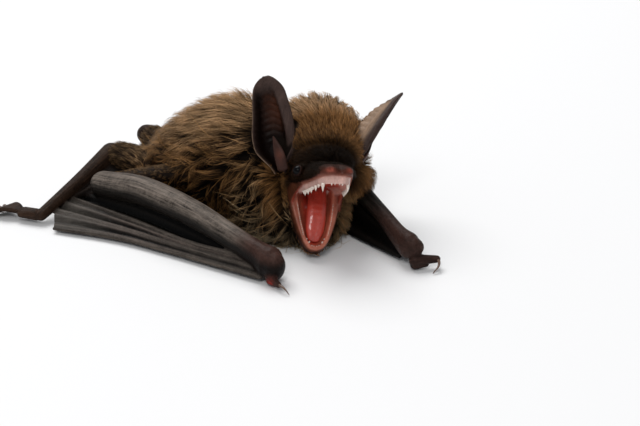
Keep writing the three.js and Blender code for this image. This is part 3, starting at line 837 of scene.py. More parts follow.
def jaw_shell():
    """The lower jaw as a profile carried round its outline: from under the chin up to the lip, over it into
    a groove, over the gum's crest and down to the floor of the mouth."""
    half = [(3.7, 1.4), (3.6, -1.2), (3.4, -3.2), (2.92, -5.2), (2.34, -7.0), (1.7, -8.45), (0.95, -9.35)]
    outline, spine = jaw_outline(half, -9.6, -7.5)
    profile, key = jaw_profile([
        (0.00, 1.00, 0.00, tone("under_fur"), 1.5, 0),
        (0.56, 1.00, 0.10, tone("under_fur"), 1.8, 0),
        (0.88, 0.85, 0.10, tone("under_fur"), 2.0, 0),
        (1.05, 0.52, -0.10, tone("cheek", 0.15), 1.8, 0),
        (1.08, 0.25, -0.40, tone("cheek", 0.25), 1.3, 0),
        (1.03, 0.00, -0.46, tone("cheek", 0.4), 0.5, 0),
        (0.985, 0.00, -0.08, tone("lip", (0.5, 0.42, 0.32)), 0, 0.25),
        (0.93, 0.00, 0.02, tone("lip", (1.05, 1.1, 1.1)), 0, 0.35),
        (0.87, 0.00, -0.06, tone("lip"), 0, 0.35),
        (0.82, 0.00, -0.22, tone("lip", (0.85, 0.7, 0.66)), 0, 0.4),
        (0.78, 0.00, -0.16, tone("lip", (1.2, 1.25, 1.25)), 0, 0.35),
        (0.73, 0.00, -0.12, tone("lip", (1.15, 1.15, 1.1)), 0, 0.35),
        (0.67, 0.00, -0.32, tone("lip", (0.85, 0.5, 0.42)), 0, 0.4),
        (0.58, 0.00, -0.85, tone("mouth", (0.9, 2.2, 2.2)), 0, 0.5),
        (0.32, 0.00, -1.25, tone("mouth"), 0, 0.7),
        (0.00, 0.00, -1.30, tone("mouth"), 0, 0.7),
    ])

    def height(y):
        under = np.interp(y, [-10.6, -9, -6, -3, 1.4], [-1.7, -2.0, -2.5, -2.8, -2.8])
        return profile[:, 1:2] * under + profile[:, 2:3]

    points = profile_lens(outline, spine, profile[:, 0], height)
    x, y, z = columns_of(points)
    x -= JAW_BEND * y**2
    tip = 0.45 * ease(-6.5, -9.0, y) * ease(5.4, 6.2, key)
    left_wall = 0.5 * ease(0.5, 1.5, x) * ease(7.5, 8.5, key) * ease(14, 12.5, key)
    tint = profile[:, None, 3:6] * (1 + tip + left_wall)[..., None]
    coat, wet = (np.broadcast_to(profile[:, k : k + 1], x.shape) for k in (6, 7))
    front = ease(-6.2, -8.2, y)[..., None]
    lie = np.array((0, 0.8, -0.6)) * (1 - front) + np.array((0, -0.75, -0.65)) * front
    values = {"tint": tint, "gloss": 0.5 - 0.22 * wet, "coat": coat, "wrinkle": 0.5 - 0.3 * wet, "wet": wet}
    return Shell(points, np.stack([y, x, z], axis=-1), JAW, lie=lie, **values)


def cheek_shell(side):
    """The cheek, a sheet ruled from the upper lip to the lower one, its front edge drawn back in a curve."""
    sign = SIDES[side]["sign"]
    upper = np.array([(3.12, -4.7, -0.35), (3.45, -2.6, -0.1), (3.8, 0.6, 0.4)]) * (sign, 1, 1)
    lower = np.array([(3.45, -3.9, -0.35), (3.62, -1.8, -0.3), (3.8, 0.6, -0.2)]) * (sign, 1, 1)
    lower = lower @ JAW_TURN.T
    down = np.linspace(0, 1, 24)

    def surface(u, v):
        a, b = smooth_path(upper, down), smooth_path(lower, down)
        at = a[:, None] + (b - a)[:, None] * u.reshape(1, -1, 1)
        sag = np.sin(np.pi * u).reshape(1, -1, 1)
        back = sag * (1 - down.reshape(-1, 1, 1)) * 1.3
        return at + back * np.array([0, 1, 0.1]) + sag * np.array([sign * 0.18, 0, 0])

    points, own = leaf(surface, 0.5, len(down), 20)
    inner = own[..., 2] * sign < 0
    tint = np.where(inner[..., None], tone("mouth", (1.0, 1.6, 1.6)), tone("cheek"))
    rear = ease(0.5, 0.8, np.concatenate([[0], down, [1]]))[:, None] * (points[..., 2] > -2.5)
    tint = mix(tint, tone("cheek", 0.15), rear)
    wet = np.where(inner, 0.6, 0.0) * (1 - rear)
    values = {"tint": tint, "wet": wet, "coat": 1.1 * rear, "gloss": 0.45, "wrinkle": 0.5}
    return Shell(points, own, HEAD, lie=(0, 1, -0.4), **values)


EAR_RIM = [(2, 2.6), (2.6, 2.6), (2.86, 2.3), (2.66, 1.8), (2.18, 1.1), (1.75, 0.4)]


def ear_place(side):
    """The ear's own frame: Z from base to tip, X across from rim to rim, Y out through its back."""
    ear = SIDES[side]["ear"]
    base = np.array(ear["base"], float)
    up = np.array(ear["tip"]) - base
    across = unit(np.cross(up, ear["facing"]))
    back = np.cross(unit(up), across)
    turn = HEAD.turn @ np.stack([across, back, unit(up)], axis=1)
    return Place(HEAD.out(base), turn), float(np.linalg.norm(up))


def ear_ribs(e, v):
    """Low ridges across the ear, a wave along its height that slants and bends over its width."""
    return np.cos(2 * np.pi * 13 * v + 4 * e + 1.5 * np.sin(9 * e))


def ear_shells(side):
    """The ear, a cup open to −Y. Across it x is half width × sin(angle) and y is depth × (cos angle − cos
    curl) / (1 − cos curl); the front rim rolls outward, the rear rim waves, and low ridges cross the bowl.
    The tragus is a flat blade that rises from the front of the base."""
    right, front = side == "right", SIDES[side]["ear"]["front"]
    place, height = ear_place(side)

    def surface(u, v):
        v = np.asarray(v) * 1.09 - 0.09
        size = smooth_path(np.array(EAR_RIM, float), v.ravel())
        root = ease(0.2, -0.15, v)
        cap = np.sqrt(np.clip(1 - np.clip((v - 0.85) / 0.152, 0, 1) ** 2, 0.004, 1))
        half = size[:, :1] * (1 - 0.7 * root) * cap
        depth = size[:, 1:] * (1 - 0.3 * root) * cap
        curl = np.radians(110 + (60 - 110) * v)
        angle = (2 * u - 1) * curl
        x = half * np.sin(angle) / np.sin(np.minimum(curl, np.pi / 2))
        y = depth * (np.cos(angle) - np.cos(curl)) / (1 - np.cos(curl))
        e = (2 * u - 1) * front
        roll = ease(0.35, 0.95, e) * ease(1.0, 0.8, v)
        well = ease(0.4, 0.12, e) * ease(-0.98, -0.6, e) * ease(0.95, 0.6, v) * ease(0, 0.2, v)
        wave = ease(-0.6, -1, e) * right
        rolled = (1.0 if right else 0.4) * roll * ease(0, 0.25, v)
        y = y + 0.75 * well + rolled + 0.1 * wave * np.sin(14 * v) + 1.7 * root
        x = x + front * 0.12 * roll - front * wave * 0.1 * np.sin(9 * v)
        ridge = ease(0.22, 0.34, v) * ease(0.92, 0.8, v) * ease(-0.95, -0.6, e) * ease(0.5, 0.1, e)
        y = y + ridge * 0.12 * ear_ribs(e, v)
        return np.stack([x, y + 0 * x, v * height + 0 * x], axis=-1)

    points, own = leaf(surface, sizes().ear_wall / MM, 70, 48)
    half_way = points.shape[1] // 2
    u = np.concatenate([np.linspace(0, 1, half_way), np.linspace(1, 0, half_way)])[None, :]
    v = np.clip(points[..., 2] / height, 0, 1)
    e = (2 * u - 1) * front + 0 * v
    inner = (np.arange(2 * half_way) < half_way)[None, :] & (v > -1)
    # The bowl is painted dark as shade in its hollow, except for a lit band across its middle, which is
    # painted light and striped with painted light and shade along its ridges.
    glow = ease(0.3, 0.6, v) * ease(0.9, 0.7, v) * ease(-0.7, -0.1, e) * ease(0.4, 0.15, e)
    painted_ridge_light = 1 + 0.45 * ear_ribs(e, v) * np.cos(5 * v + 2)
    bowl = tone("ear_bowl") * (0.14 + 1.5 * glow * painted_ridge_light)[..., None]
    rim = 1.3 * ease(0.24, 0.4, e) + ease(-0.84, -0.96, e) + 1.3 * ease(0.78, 0.93, v)
    inside = mix(bowl, tone("ear_rim"), np.clip(rim, 0, 1.3))
    rim = ease(0.25, 0.55, e) if right else ease(0.5, 0.8, e)
    outside = mix(tone("ear_back"), tone("ear_rim"), np.clip(rim + ease(0.7, 0.95, v), 0, 1))
    tint = np.where(inner[..., None], inside, outside)
    furry = ease(0.36, 0.05, v) if right else 0.75 * ease(0.85, 0.1, v) * ease(0.4, 0.1, e)
    values = {"tint": tint, "coat": np.where(inner, 0, 1.6) * furry, "gloss": 0.42, "wrinkle": 0.35}
    ear = Shell(points, own, place, lie=UP, streak=0.25, **values)

    lean = -SIDES[side]["sign"]
    blade = [
        (lean * 1.2, 0.5, -0.6, 0.85, 0.34), (lean, 0.2, 1.2, 0.85, 0.3),
        (lean * 0.65, 0.2, 2.6, 0.56, 0.24), (lean * 0.25, 0.3, 3.9, 0.14, 0.14),
    ]
    points, own = limb(blade, around=16, steps=6, up=(0, -1, 0))
    pink = bump_at(points, (lean * 1.1, -0.2, 1.3), 0.6) * 0.7
    tint = mix(tone("ear_rim", (0.85, 0.65, 0.6)), tone("lip", 0.45), pink)
    return [ear, Shell(points, own, place, tint=tint, gloss=0.4, wrinkle=0.3)]


# ---- Wings, legs and tail ----


def wing_place(side):
    """The wing's own frame: its origin under the wrist, turned round Z by the yaw of the wing."""
    return Place(SIDES[side]["wrist"], turned("Z", SIDES[side]["wing_yaw"]))


def naked(stations, tint, place=BODY, coat=0.0, **options):
    """A naked limb, streaked along its length."""
    points, own = limb(stations, **options)
    return Shell(points, own, place, tint=tint, coat=coat, gloss=0.46, streak=0.8, wrinkle=0.35)


def mirrored(side, stations):
    """Stations given for the left side, with x × the sign of the side that they are for."""
    return [(SIDES[side]["sign"] * s[0], *s[1:]) for s in stations]


def membrane_shell(
    line_a, line_b, tint, place=BODY, sag=0.0, pleats=0.0, rise=0.0, columns=24, end=None, painted_pleat_light=(0.16, 5.0)
):
    """A sheet ruled between two smooth lines: a + u × (b − a), hanging by sag × 4u(1 − u), with pleats as
    a sine across it that fades out at both lines, and that take the colour of end towards their far end.
    Its pleat light is painted: the brightness of its troughs, as shade, and what its crests add, as
    highlights."""
    down, share = np.linspace(0, 1, 60), np.linspace(0, 1, columns)

    def surface(u, v):
        a, b = smooth_path(line_a, down), smooth_path(line_b, down)
        across = u.reshape(1, -1, 1)
        at = a[:, None] + (b - a)[:, None] * across
        drop = 4 * across * (1 - across)
        high = rise * np.sqrt(drop) * (0.4 + 0.6 * down.reshape(-1, 1, 1))
        fold = np.sin(2 * np.pi * pleats * across) * high
        return at + (fold - sag * drop) * np.array(UP)

    points, own = leaf(surface, sizes().wing_wall / MM, len(down), columns)
    crest = np.sin(2 * np.pi * pleats * np.concatenate([share, share[::-1]]))[None, :, None]
    # Painted light and shade: the crests of the pleats are lightened as highlights and the troughs darkened
    # as shade.
    tint = np.asarray(tint) * (painted_pleat_light[0] + painted_pleat_light[1] * np.maximum(crest, 0) ** 9 + 0 * own[..., :1])
    if end is not None:
        run = ease(0.66, 0.95, np.concatenate([[0], down, [1]]))[:, None, None]
        tint = tint + (end - tint) * run * 0.8
    return Shell(points, own, place, tint=np.clip(tint, 0, 1), gloss=0.42, streak=0.35, wrinkle=0.4)


def arm_line(side):
    """Stations of the arm from elbow to wrist. The left arm, which is seen from its inner edge, is slimmer
    and stands a little higher."""
    arm = [*FOREARM[:3], (0, 7, 3.9, 1.55, 1.75), (0.1, 2.6, 3.0, 1.5, 2.0), (0.25, 0.2, 2.5, 1.95, 2.45)]
    arm = mirrored(side, [*arm, (0.4, -0.7, 2.35, 1.6, 2.15)])
    if side == "right":
        return arm
    made = []
    for x, y, z, *radii in arm:
        slim = 0.78 if y < 2.8 else 0.73 if y < 20 else 0.86
        z = z + 0.35 + 0.5 * ease(2, 8, y) - 0.5 * ease(20, 30, y)
        made.append((x, y, z, *(r * slim for r in radii)))
    return made


def arm_shell(side, arm, shade):
    """The arm and wrist as one limb, warm brown at the knob of the wrist, with a painted highlight along its
    top and painted shade below it. The left arm, seen from its inner side in shade, is painted near-black
    except for the knob and a lit top edge.
    """
    points, own = limb(arm, around=36, steps=10, rounds=8)
    y, z = points[..., 1:2], points[..., 2:]
    knob = ease(7.5, 2.5, y) if side == "right" else ease(9.5, 3, y)
    tint = tone("forearm") * shade * (1 - knob) + tone("wrist") * knob
    # Painted light: the top of the arm is lightened as a highlight and its underside darkened as shade.
    edge = ease(-0.2, 0.9, z - np.interp(y, [0, 15, 25, 33], [3, 5.6, 6, 4.6]))
    if side == "right":
        tint = tint * (0.12 + 1.2 * edge)
    else:
        # The left arm is painted near-black as shade, with a lit top edge, and it is darker still along its
        # underside.
        tint = tint * (knob + (1 - knob) * (0.03 + 0.8 * edge**2))
        painted_underside_shade = 1 - ease(-0.7, 0.6, z - np.interp(y, [0, 3, 8, 15], [2.8, 3.4, 4.9, 6.1]))
        tint = tint * (1 - 0.75 * painted_underside_shade * ease(2.5, 5.0, y))
    values = {"tint": tint, "streak": 1.0 - 0.7 * knob, "wrinkle": 0.25 + 0.5 * knob}
    return Shell(points, own, wing_place(side), gloss=0.4, **values)


def wing_shells(side):
    """Arm, thumb and the three long fingers, with the folded membranes between them and the curtain of skin
    that hangs from the arm to the floor. The left wing lies in shade beside the body and takes darker
    copies of the colours of the arm, the finger bones and the far flap, as painted shade. The membrane
    under the arm and the curtain are painted near-black as shade, and the left curtain reaches out over
    the floor, where it also stands for the wing's shadow."""
    given, place = SIDES[side], wing_place(side)
    # Painted shade: the left wing's colours are darkened copies of the right wing's.
    shade = 1.0 if side == "right" else 0.14
    arm = arm_line(side)
    base = mirrored(side, [(0.5, 0.4, 3.3, 1.15), (0.7, -0.9, 2.9, 1.15)])
    shells = [arm_shell(side, arm, shade), naked(base, tone("wrist"), place, around=24, steps=6)]
    radii = (0.85, 0.5, 0.42) if side == "right" else (0.9, 0.66, 0.52)
    thumb = [(*p, r) for p, r in zip(mirrored(side, given["thumb"]), radii)]
    dark = tone("wrist", 0.8)
    shells.append(naked(thumb, dark, place, around=18, steps=8))
    shells.append(naked([(*thumb[0][:2], 0.75, 0.7), (*thumb[1][:2], 0.7, 0.42)], dark, place, around=16))
    for stations in FINGERS.values():
        bone = [(*s[:3], s[3] * 0.5) for s in mirrored(side, stations)]
        shells.append(naked(bone, tone("forearm") * 0.7 * shade, place, around=14, steps=12))
    three, four, five = ([s[:3] for s in mirrored(side, FINGERS[f])] for f in (3, 4, 5))
    low = mirrored(side, [*FOREARM[:3], (0, 6, 3.9), (0.1, 1.0, 2.9)])
    low = [(x, y, z - 0.9) for x, y, z, *_ in low][::-1]
    hem = [(-2.2, 30, 0.7), (-2, 22, 0.55), (-1.7, 13, 0.45), (-0.9, 4, 0.45), (-0.5, 1.2, 0.5)]
    hem = mirrored(side, hem)
    # On the left the hem is drawn further out over the floor, so that the dark curtain also covers the wing's
    # shadow there.
    hem = [(x - 1.4 * ease(1, 11, y), y, z) for x, y, z in hem] if side == "left" else hem
    skin = tone("membrane")
    flap = tone("forearm", (0.7, 0.75, 0.78)) * max(shade, 0.4)
    # The membrane under the arm (× 0.06) and the curtain (× 0.1) are painted near-black as shade.
    sheets = (
        (three, four, skin, {"sag": 0.1, "pleats": 1.5, "rise": 0.3, "columns": 44, "end": flap}),
        (four, five, skin, {"sag": 0.3, "pleats": 2.0, "rise": 0.4, "columns": 52, "end": flap}),
        (five, low, skin * 0.06, {"sag": 1.0, "pleats": 2.0, "rise": 0.25, "columns": 40}),
        (low[::-1], hem, skin * 0.1, {"sag": -0.1, "pleats": 1.5, "rise": 0.1, "columns": 30}),
    )
    shells += [membrane_shell(a, b, tint, place, **options) for a, b, tint, options in sheets]
    elbow, shoulder = place.out(np.array(arm[0][:3])), np.array(given["shoulder"])
    end = shoulder + (elbow - shoulder) * 0.88
    shells.append(naked([(*shoulder, 1.9), (*end, 1.5)], tone("leg", 0.45), coat=1.0, around=20, steps=12))
    return shells


def leg_line(side):
    """Hip, knee, ankle and toes of a leg."""
    return (np.array(SIDES[side][k], float) for k in ("hip", "knee", "ankle", "toes"))


def toe_tip(toes, across):
    """Where a toe ends, just over the floor."""
    return np.array([toes[0] + across, toes[1], 0.42])


def leg_shells(side):
    """Thigh, shin, sole and five toes."""
    hip, knee, ankle, toes = leg_line(side)
    thigh = [(*hip, 2.4), (*(hip + (knee - hip) * 0.7), 1.9)]
    points, own = limb(thigh, around=20, steps=8)
    shells = [Shell(points, own, tint=tone("leg", 0.6), coat=1.7, lie=unit(knee - hip), gloss=0.6)]
    shin = [(*knee, 1.55), (*(knee + (ankle - knee) * 0.45), 1.1), (*ankle, 0.85)]
    heel, instep = (ankle + (toes - ankle) * share for share in (0.1, 0.4))
    shells.append(naked(shin, tone("leg"), around=20, steps=12))
    shells.append(naked([(*heel, 0.9), (*instep, 1.25, 0.72)], tone("leg"), around=18, steps=6))
    for across in TOES:
        knuckle = ankle + (toes - ankle) * 0.7 + np.array([across * 0.7, 0, 0.5])
        toe = [(*instep, 0.42), (*knuckle, 0.4), (*toe_tip(toes, across), 0.3)]
        shells.append(naked(toe, tone("leg"), around=10, steps=6))
    return shells


def tail_shells():
    """The tail, curled down under the rump, and the membranes from it to the shins and from wing to shin."""
    shells = [naked(TAIL, tone("leg"), around=12, steps=6)]
    root = [s[:3] for s in TAIL[:3]]
    edge = [(-4.5, 24, 4.2), (-3, 31, 3.4), (0, 34, 2.8), (3, 37.2, 1.7)]
    for side in SIDES:
        hip, knee, ankle, _ = leg_line(side)
        down = ankle - knee
        shin = [knee + down * s for s in (0.12, 0.5, 0.9)]
        # The membranes' pleat light is painted: lit crests and shaded troughs.
        options = {"sag": 0.3, "pleats": 1.5, "rise": 0.12, "painted_pleat_light": (0.5, 0.5)}
        shells.append(membrane_shell(shin, root, tone("leg"), **options))
        front = wing_place(side).out(np.array(mirrored(side, edge)))
        leg = [hip + (knee - hip) * 0.6 - (0, 0, 1.4), *[knee + down * s for s in (0.15, 0.5, 0.88)]]
        options = {"sag": 0.2, "pleats": 2.5, "rise": 0.2, "columns": 40, "painted_pleat_light": (0.4, 0.7)}
        shells.append(membrane_shell(front, leg, tone("leg", 0.5), **options))
    return shells


def cut_mouth(obj):
    """Cuts the room of the mouth out of the head and throat."""
    cutter = ring_piece("mouth_room", limb(MOUTH_ROOM, around=28, steps=6)[0], HEAD)
    apply_modifier(obj, "BOOLEAN", object=cutter, operation="DIFFERENCE", solver="EXACT")
    bpy.data.objects.remove(cutter)


def in_limb(points, stations, grow):
    """How deep a point is in a limb: 1 on its middle line, 0 on its surface grown by grow, less outside."""
    best = np.full(len(points), -9.0)
    for x, y, z, wide, high in smooth_path(stations, np.linspace(0, 1, 40)):
        radii = (wide + grow, (wide + high) / 2 + grow, high + grow)
        best = np.maximum(best, 1 - np.linalg.norm((points - (x, y, z)) / radii, axis=1))
    return best


def drop_crumbs(mesh):
    """Removes every loose bit of a mesh but the largest: each point takes the lowest label among its own
    and its neighbours', and then the label of that point, until none changes."""
    a, b = edges_of(mesh)
    label = np.arange(len(mesh.vertices))
    while True:
        low = label.copy()
        np.minimum.at(low, a, label[b])
        np.minimum.at(low, b, label[a])
        low = low[low]
        if np.array_equal(low, label):
            break
        label = low
    loose = np.flatnonzero(label != np.argmax(np.bincount(label)))
    reworked(mesh, lambda bm: bmesh.ops.delete(bm, geom=[bm.verts[i] for i in loose], context="VERTS"))


def build_skin():
    """Joins every part into one skin: closed surfaces that overlap are remeshed together at a small step,
    smoothed and thinned, and their values are blended where one part runs into the next."""
    core = mesh_piece("core", *joined([*trunk_shells(), *crown_shells()]))
    remesh(core, CORE_STEP)
    cut_mouth(core)
    parts = [muzzle_shell(), jaw_shell(), *tail_shells()]
    for side in SIDES:
        parts += [cheek_shell(side), *orbit_shells(side), *ear_shells(side)]
        parts += [*wing_shells(side), *leg_shells(side)]
    skin = mesh_piece("skin", *joined(parts))
    reworked(core.data, lambda bm: bmesh.ops.triangulate(bm, faces=bm.faces))
    both = [skin, core]
    bpy.context.view_layer.objects.active = skin
    with bpy.context.temp_override(
        object=skin, active_object=skin, selected_objects=both, selected_editable_objects=both
    ):
        bpy.ops.object.join()
    remesh(skin, sizes().skin_step / MM)
    mesh = skin.data
    apply_modifier(skin, "SMOOTH", factor=0.5, iterations=3)
    share = min(1.0, SKIN_TRIANGLES / (2 * len(mesh.polygons)))
    apply_modifier(skin, "DECIMATE", ratio=share, use_collapse_triangulate=True)
    drop_crumbs(mesh)
    values = blended(mesh, read_values(mesh, Shell.KEYS), rounds=2)
    points = read_points(mesh)
    cavity = ease(-0.05, 0.06, in_limb(HEAD.into(points), MOUTH_ROOM, 0.1)) * (values["coat"] > 0.05)
    values["tint"] = mix(values["tint"], tone("mouth"), cavity)
    values["coat"] = values["coat"] * (1 - cavity)
    values["wet"] = np.maximum(values["wet"], 0.25 * cavity)
    # A raw spot on the thumb's side of the right wrist.
    sore = np.clip(1.2 * bump_at(points, (-10.9, -21.9, 0.8), 0.5), 0, 1)
    values["tint"] = mix(values["tint"], np.array((0.42, 0.03, 0.02)), sore)
    points[:, 2] = np.maximum(points[:, 2], 0.0)
    mesh.vertices.foreach_set("co", (points * MM).astype(np.float32).ravel())
    mesh.polygons.foreach_set("use_smooth", np.ones(len(mesh.polygons), bool))
    write_values(mesh, values)
    mesh.update()
    return skin


# ---- The coat ----


def skin_table():
    """The skin as arrays: points, normals, triangles and values."""
    mesh = bpy.data.objects["skin"].data
    mesh.calc_loop_triangles()
    triangles = np.empty(len(mesh.loop_triangles) * 3, np.int32)
    mesh.loop_triangles.foreach_get("vertices", triangles)
    normals = np.empty(len(mesh.vertices) * 3, np.float32)
    mesh.vertices.foreach_get("normal", normals)
    values = read_values(mesh, ("coat", "lie"))
    return read_points(mesh), normals.reshape(-1, 3), triangles.reshape(-1, 3), values


def nearest(points, centres):
    """For each point the number of its nearest centre, by squared distance |p|² − 2p·c + |c|²."""
    found = np.empty(len(points), np.int64)
    square = np.sum(centres**2, axis=1)
    batch = 4000
    for start in range(0, len(points), batch):
        part = points[start : start + batch]
        found[start : start + batch] = np.argmin(square[None] - 2 * part @ centres.T, axis=1)
    return found


def beard_at(at):
    """The share of beard, which hangs beside the jaw on the left."""
    local = HEAD.into(at)
    return ease(0.3, -1.8, local[:, 2]) * ease(3.0, 4.6, local[:, 0]) * ease(-8, -11, at[:, 1])


def coat_regions(at, normal):
    """Where on the body each root is: shares of head, throat, flank and back, from its place."""
    x, y, z = columns_of(HEAD.into(at))
    from_middle = np.linalg.norm(np.stack([x - 0.8, (y - 1.5) / 1.05, z - 3.2]), axis=0)
    head = ease(8.5, 5.0, from_middle - 1.5) * ease(-8.0, -10.5, at[:, 1] - 0.35 * (at[:, 2] - 12))
    head = np.maximum(head, ease(-1.0, -3.0, y) * ease(-2.0, -0.8, z))
    throat = ease(-7, -11, at[:, 1]) * (1 - head)
    up = ease(0.15, 0.8, normal[:, 2])
    back = np.clip(up + ease(6, 12, at[:, 1]) * 0.7, 0, 1) * (1 - head) * (1 - throat)
    return {"head": head, "throat": throat, "back": back, "flank": np.clip(1 - back - head, 0, 1)}


def hair_roots(table, count, dice):
    """Roots of the hairs, drawn on triangles by area × wanted density, with the skin's normal, the length
    of its coat and its lie at each."""
    points, normals, triangles, values = table
    corner = points[triangles]
    area = 0.5 * np.linalg.norm(np.cross(corner[:, 1] - corner[:, 0], corner[:, 2] - corner[:, 0]), axis=1)
    coat = values["coat"][triangles].mean(axis=1)
    middle = corner.mean(axis=1)
    head = coat_regions(middle, unit(normals[triangles].mean(axis=1)))["head"]
    _, y, z = columns_of(HEAD.into(middle))
    face = ease(0.5, -3.2, y) * ease(-3, -1.5, z)
    dense = 1 + 0.9 * head + 0.8 * face * head
    dense = dense * (1 + 2.0 * ease(-4.5, -7.0, z)) * (1 + 1.5 * beard_at(middle))
    dense = dense * (1 + 0.3 * ease(7, 3, middle[:, 2]) * ease(3, -4, middle[:, 1]))
    dense = dense * ease(0.02, 0.3, coat) * np.clip(2.6 / np.maximum(coat, 0.4), 0.75, 2.2)
    dense = dense * (middle[:, 2] > 0.25)
    chance = np.cumsum(area * dense)
    pick = np.searchsorted(chance, dice.random(count) * chance[-1])
    r, s = np.sqrt(dice.random(count)), dice.random(count)
    share = np.stack([1 - r, r * (1 - s), r * s], axis=1)[..., None]

    def at_root(value):
        """A value of the skin's points at each root, as the sum of its three corners × their shares."""
        return (value[triangles[pick]].reshape(count, 3, -1) * share).sum(axis=1)

    return at_root(points), unit(at_root(normals)), at_root(values["coat"])[:, 0], at_root(values["lie"])


def coat_curves(root, normal, hair, lie, dice):
    """Middle lines of all hairs, their thickness and their colours. A hair starts at its root and turns from
    its lift angle down onto the lie of the coat as it runs; then it is drawn towards the middle hair of its
    lock, more at the tip than at the root, and waved a little sideways."""
    count, local = len(root), HEAD.into(root)
    where = coat_regions(root, normal)
    head, throat, back, flank = (where[k] for k in ("head", "throat", "back", "flank"))
    length = hair * (1 + (sizes().back_hair / sizes().flank_hair - 1) * back)
    length = length * dice.uniform(0.72, 1.12, count)

    # Locks: every root follows the nearest of a thinner set of roots.
    spacing = sizes().clump_width / MM * (1 - 0.45 * head - 0.1 * back)
    centres = np.flatnonzero(dice.random(count) < np.clip(0.045 / spacing**2, 0, 1))
    lock = nearest(root, root[centres])
    lock_turn, lock_lift, lock_tone, lock_curl = (dice.normal(0, 1, len(centres))[lock] for _ in range(4))
    stray_share = 0.015 + 0.05 * throat * ease(1, -1, local[:, 0])
    stray = (dice.random(count) < stray_share) & (flank > 0.4) & (hair > 3)
    length = np.where(stray, length * 1.5, length)
    long = ease(1.6, 2.8, hair)
    hang = ease(5.5, 1.5, root[:, 2]) * ease(1, -4, root[:, 1]) * (1 - head) * long
    length = length * (1 + 0.45 * hang + 0.3 * throat * long)
    chin = ease(-4.5, -7.0, local[:, 2]) * ease(1.5, -0.5, local[:, 1])
    nape = ease(-1.5, -4.0, local[:, 0]) * ease(6.5, 8.5, local[:, 2]) * ease(0.7, 1.0, head)
    length = length * (1 - 0.45 * chin) * (1 + 0.6 * nape)

    # Slow swirls in the lie of the coat.
    swirl = np.sin(root @ (0.55, 0.31, 0.47) + 1.3) + np.sin(root @ (-0.37, 0.62, 0.71) + 4.1)
    forward = unit(lie - normal * np.sum(lie * normal, axis=1, keepdims=True))
    side = np.cross(normal, forward)
    wild = 0.14 + 0.34 * flank + 0.14 * throat
    own_turn = dice.normal(0, 1, count) * np.where(stray, 2.2, 1.0)
    turn = wild * (0.75 * lock_turn + 0.35 * own_turn) + 0.2 * swirl
    way = unit(forward * np.cos(turn)[:, None] + side * np.sin(turn)[:, None])

    lift = 0.58 + 0.5 * ease(6.5, 8.0, local[:, 0]) * head + 0.1 * head - 0.08 * back
    lift = lift + 0.18 * lock_lift * (0.3 + flank) + 0.09 * dice.normal(0, 1, count)
    lift = np.clip(lift + 0.4 * hang + 0.25 * throat * long - 0.25 * (1 - long) * throat, 0.2, 1.3)
    lift = (lift + 0.45 * nape) * (1 - 0.5 * chin)
    line = np.empty((count, SPANS + 1, 3))
    line[:, 0] = root - normal * 0.12
    curl = (0.3 * dice.normal(0, 1, count) + 0.75 * lock_curl * flank) * (0.35 + 0.65 * flank)
    curl = np.clip(curl, -0.9, 0.9)
    for k, bend in enumerate((1.15, 0.62, 0.0)):
        angle, drift = lift * bend, curl * (k / (SPANS - 1))
        flat = np.cos(angle)
        step = way * (flat * np.cos(drift))[:, None] + side * (flat * np.sin(drift))[:, None]
        line[:, k + 1] = line[:, k] + (step + normal * np.sin(angle)[:, None]) * (length / SPANS)[:, None]

    guide = line[centres][lock]
    stretch = np.clip(length / np.maximum(length[centres][lock], 0.1), 0.7, 1.3)[:, None, None]
    guide = guide[:, :1] + (guide - guide[:, :1]) * stretch
    strength = (0.3 + 0.65 * flank + 0.3 * throat) * np.where(stray, 0.0, 1.0)
    pull = strength[:, None, None] * np.linspace(0, 1, SPANS + 1)[None, :, None] ** 0.8
    line = line + (guide - line) * np.clip(pull, 0, 0.93)
    line[..., 2] = np.maximum(line[..., 2], 0.06)

    thin = 0.62 + 0.38 * np.clip(length / 3.5, 0, 1)
    width = sizes().hair_width / MM * thin * dice.uniform(0.75, 1.2, count)
    beard = beard_at(root)
    width = width * np.where(stray, 1.35, 1.0) * (1 + 0.35 * beard)
    tint = hair_tints(root, hair, {**where, "chin": chin, "beard": beard}, stray, lock_tone, dice)
    keep = ~in_ear(line) & (in_limb(HEAD.into(line[:, 0]), MOUTH_ROOM, 0.45) < 0)
    return line[keep], width[keep], tint[keep], keep


def crown_tints(local, dice):
    """Tips of the hairs of the head, tan on top, brown in front and nearly black in a band over the eyes
    and muzzle, and how far each is from black to tan."""
    x, y, z = columns_of(local)
    high = z + 0.5 * y
    near = np.linalg.norm((local - (0.2, -4.2, 1.6)) / (1.25, 1, 1), axis=1)
    shade = np.interp(high, [1.5, 3.2, 4.5, 7.0, 10.0, 12.5], [0.0, 0.05, 0.12, 0.2, 0.72, 1.0])
    left = ease(3.3, 4.8, near) * ease(0.0, 2.5, x) * ease(-5.5, -3.0, y)
    shade = np.maximum(shade, 0.29 * np.maximum(left, ease(4.2, 6.2, near) * ease(-1.5, 0.5, y)))
    shade = np.clip(shade + 0.09 * np.abs(dice.normal(0, 1, len(local))) * ease(1.5, 4.0, high), 0, 1)
    crown, middle, brow = tone("crown_tip"), tone("crown_tip", (0.42, 0.31, 0.19)), tone("brow_tip")
    dark, pale = mix(brow, middle, shade / 0.4), mix(middle, crown, (shade - 0.4) / 0.6)
    return np.where(shade[:, None] < 0.4, dark, pale), shade


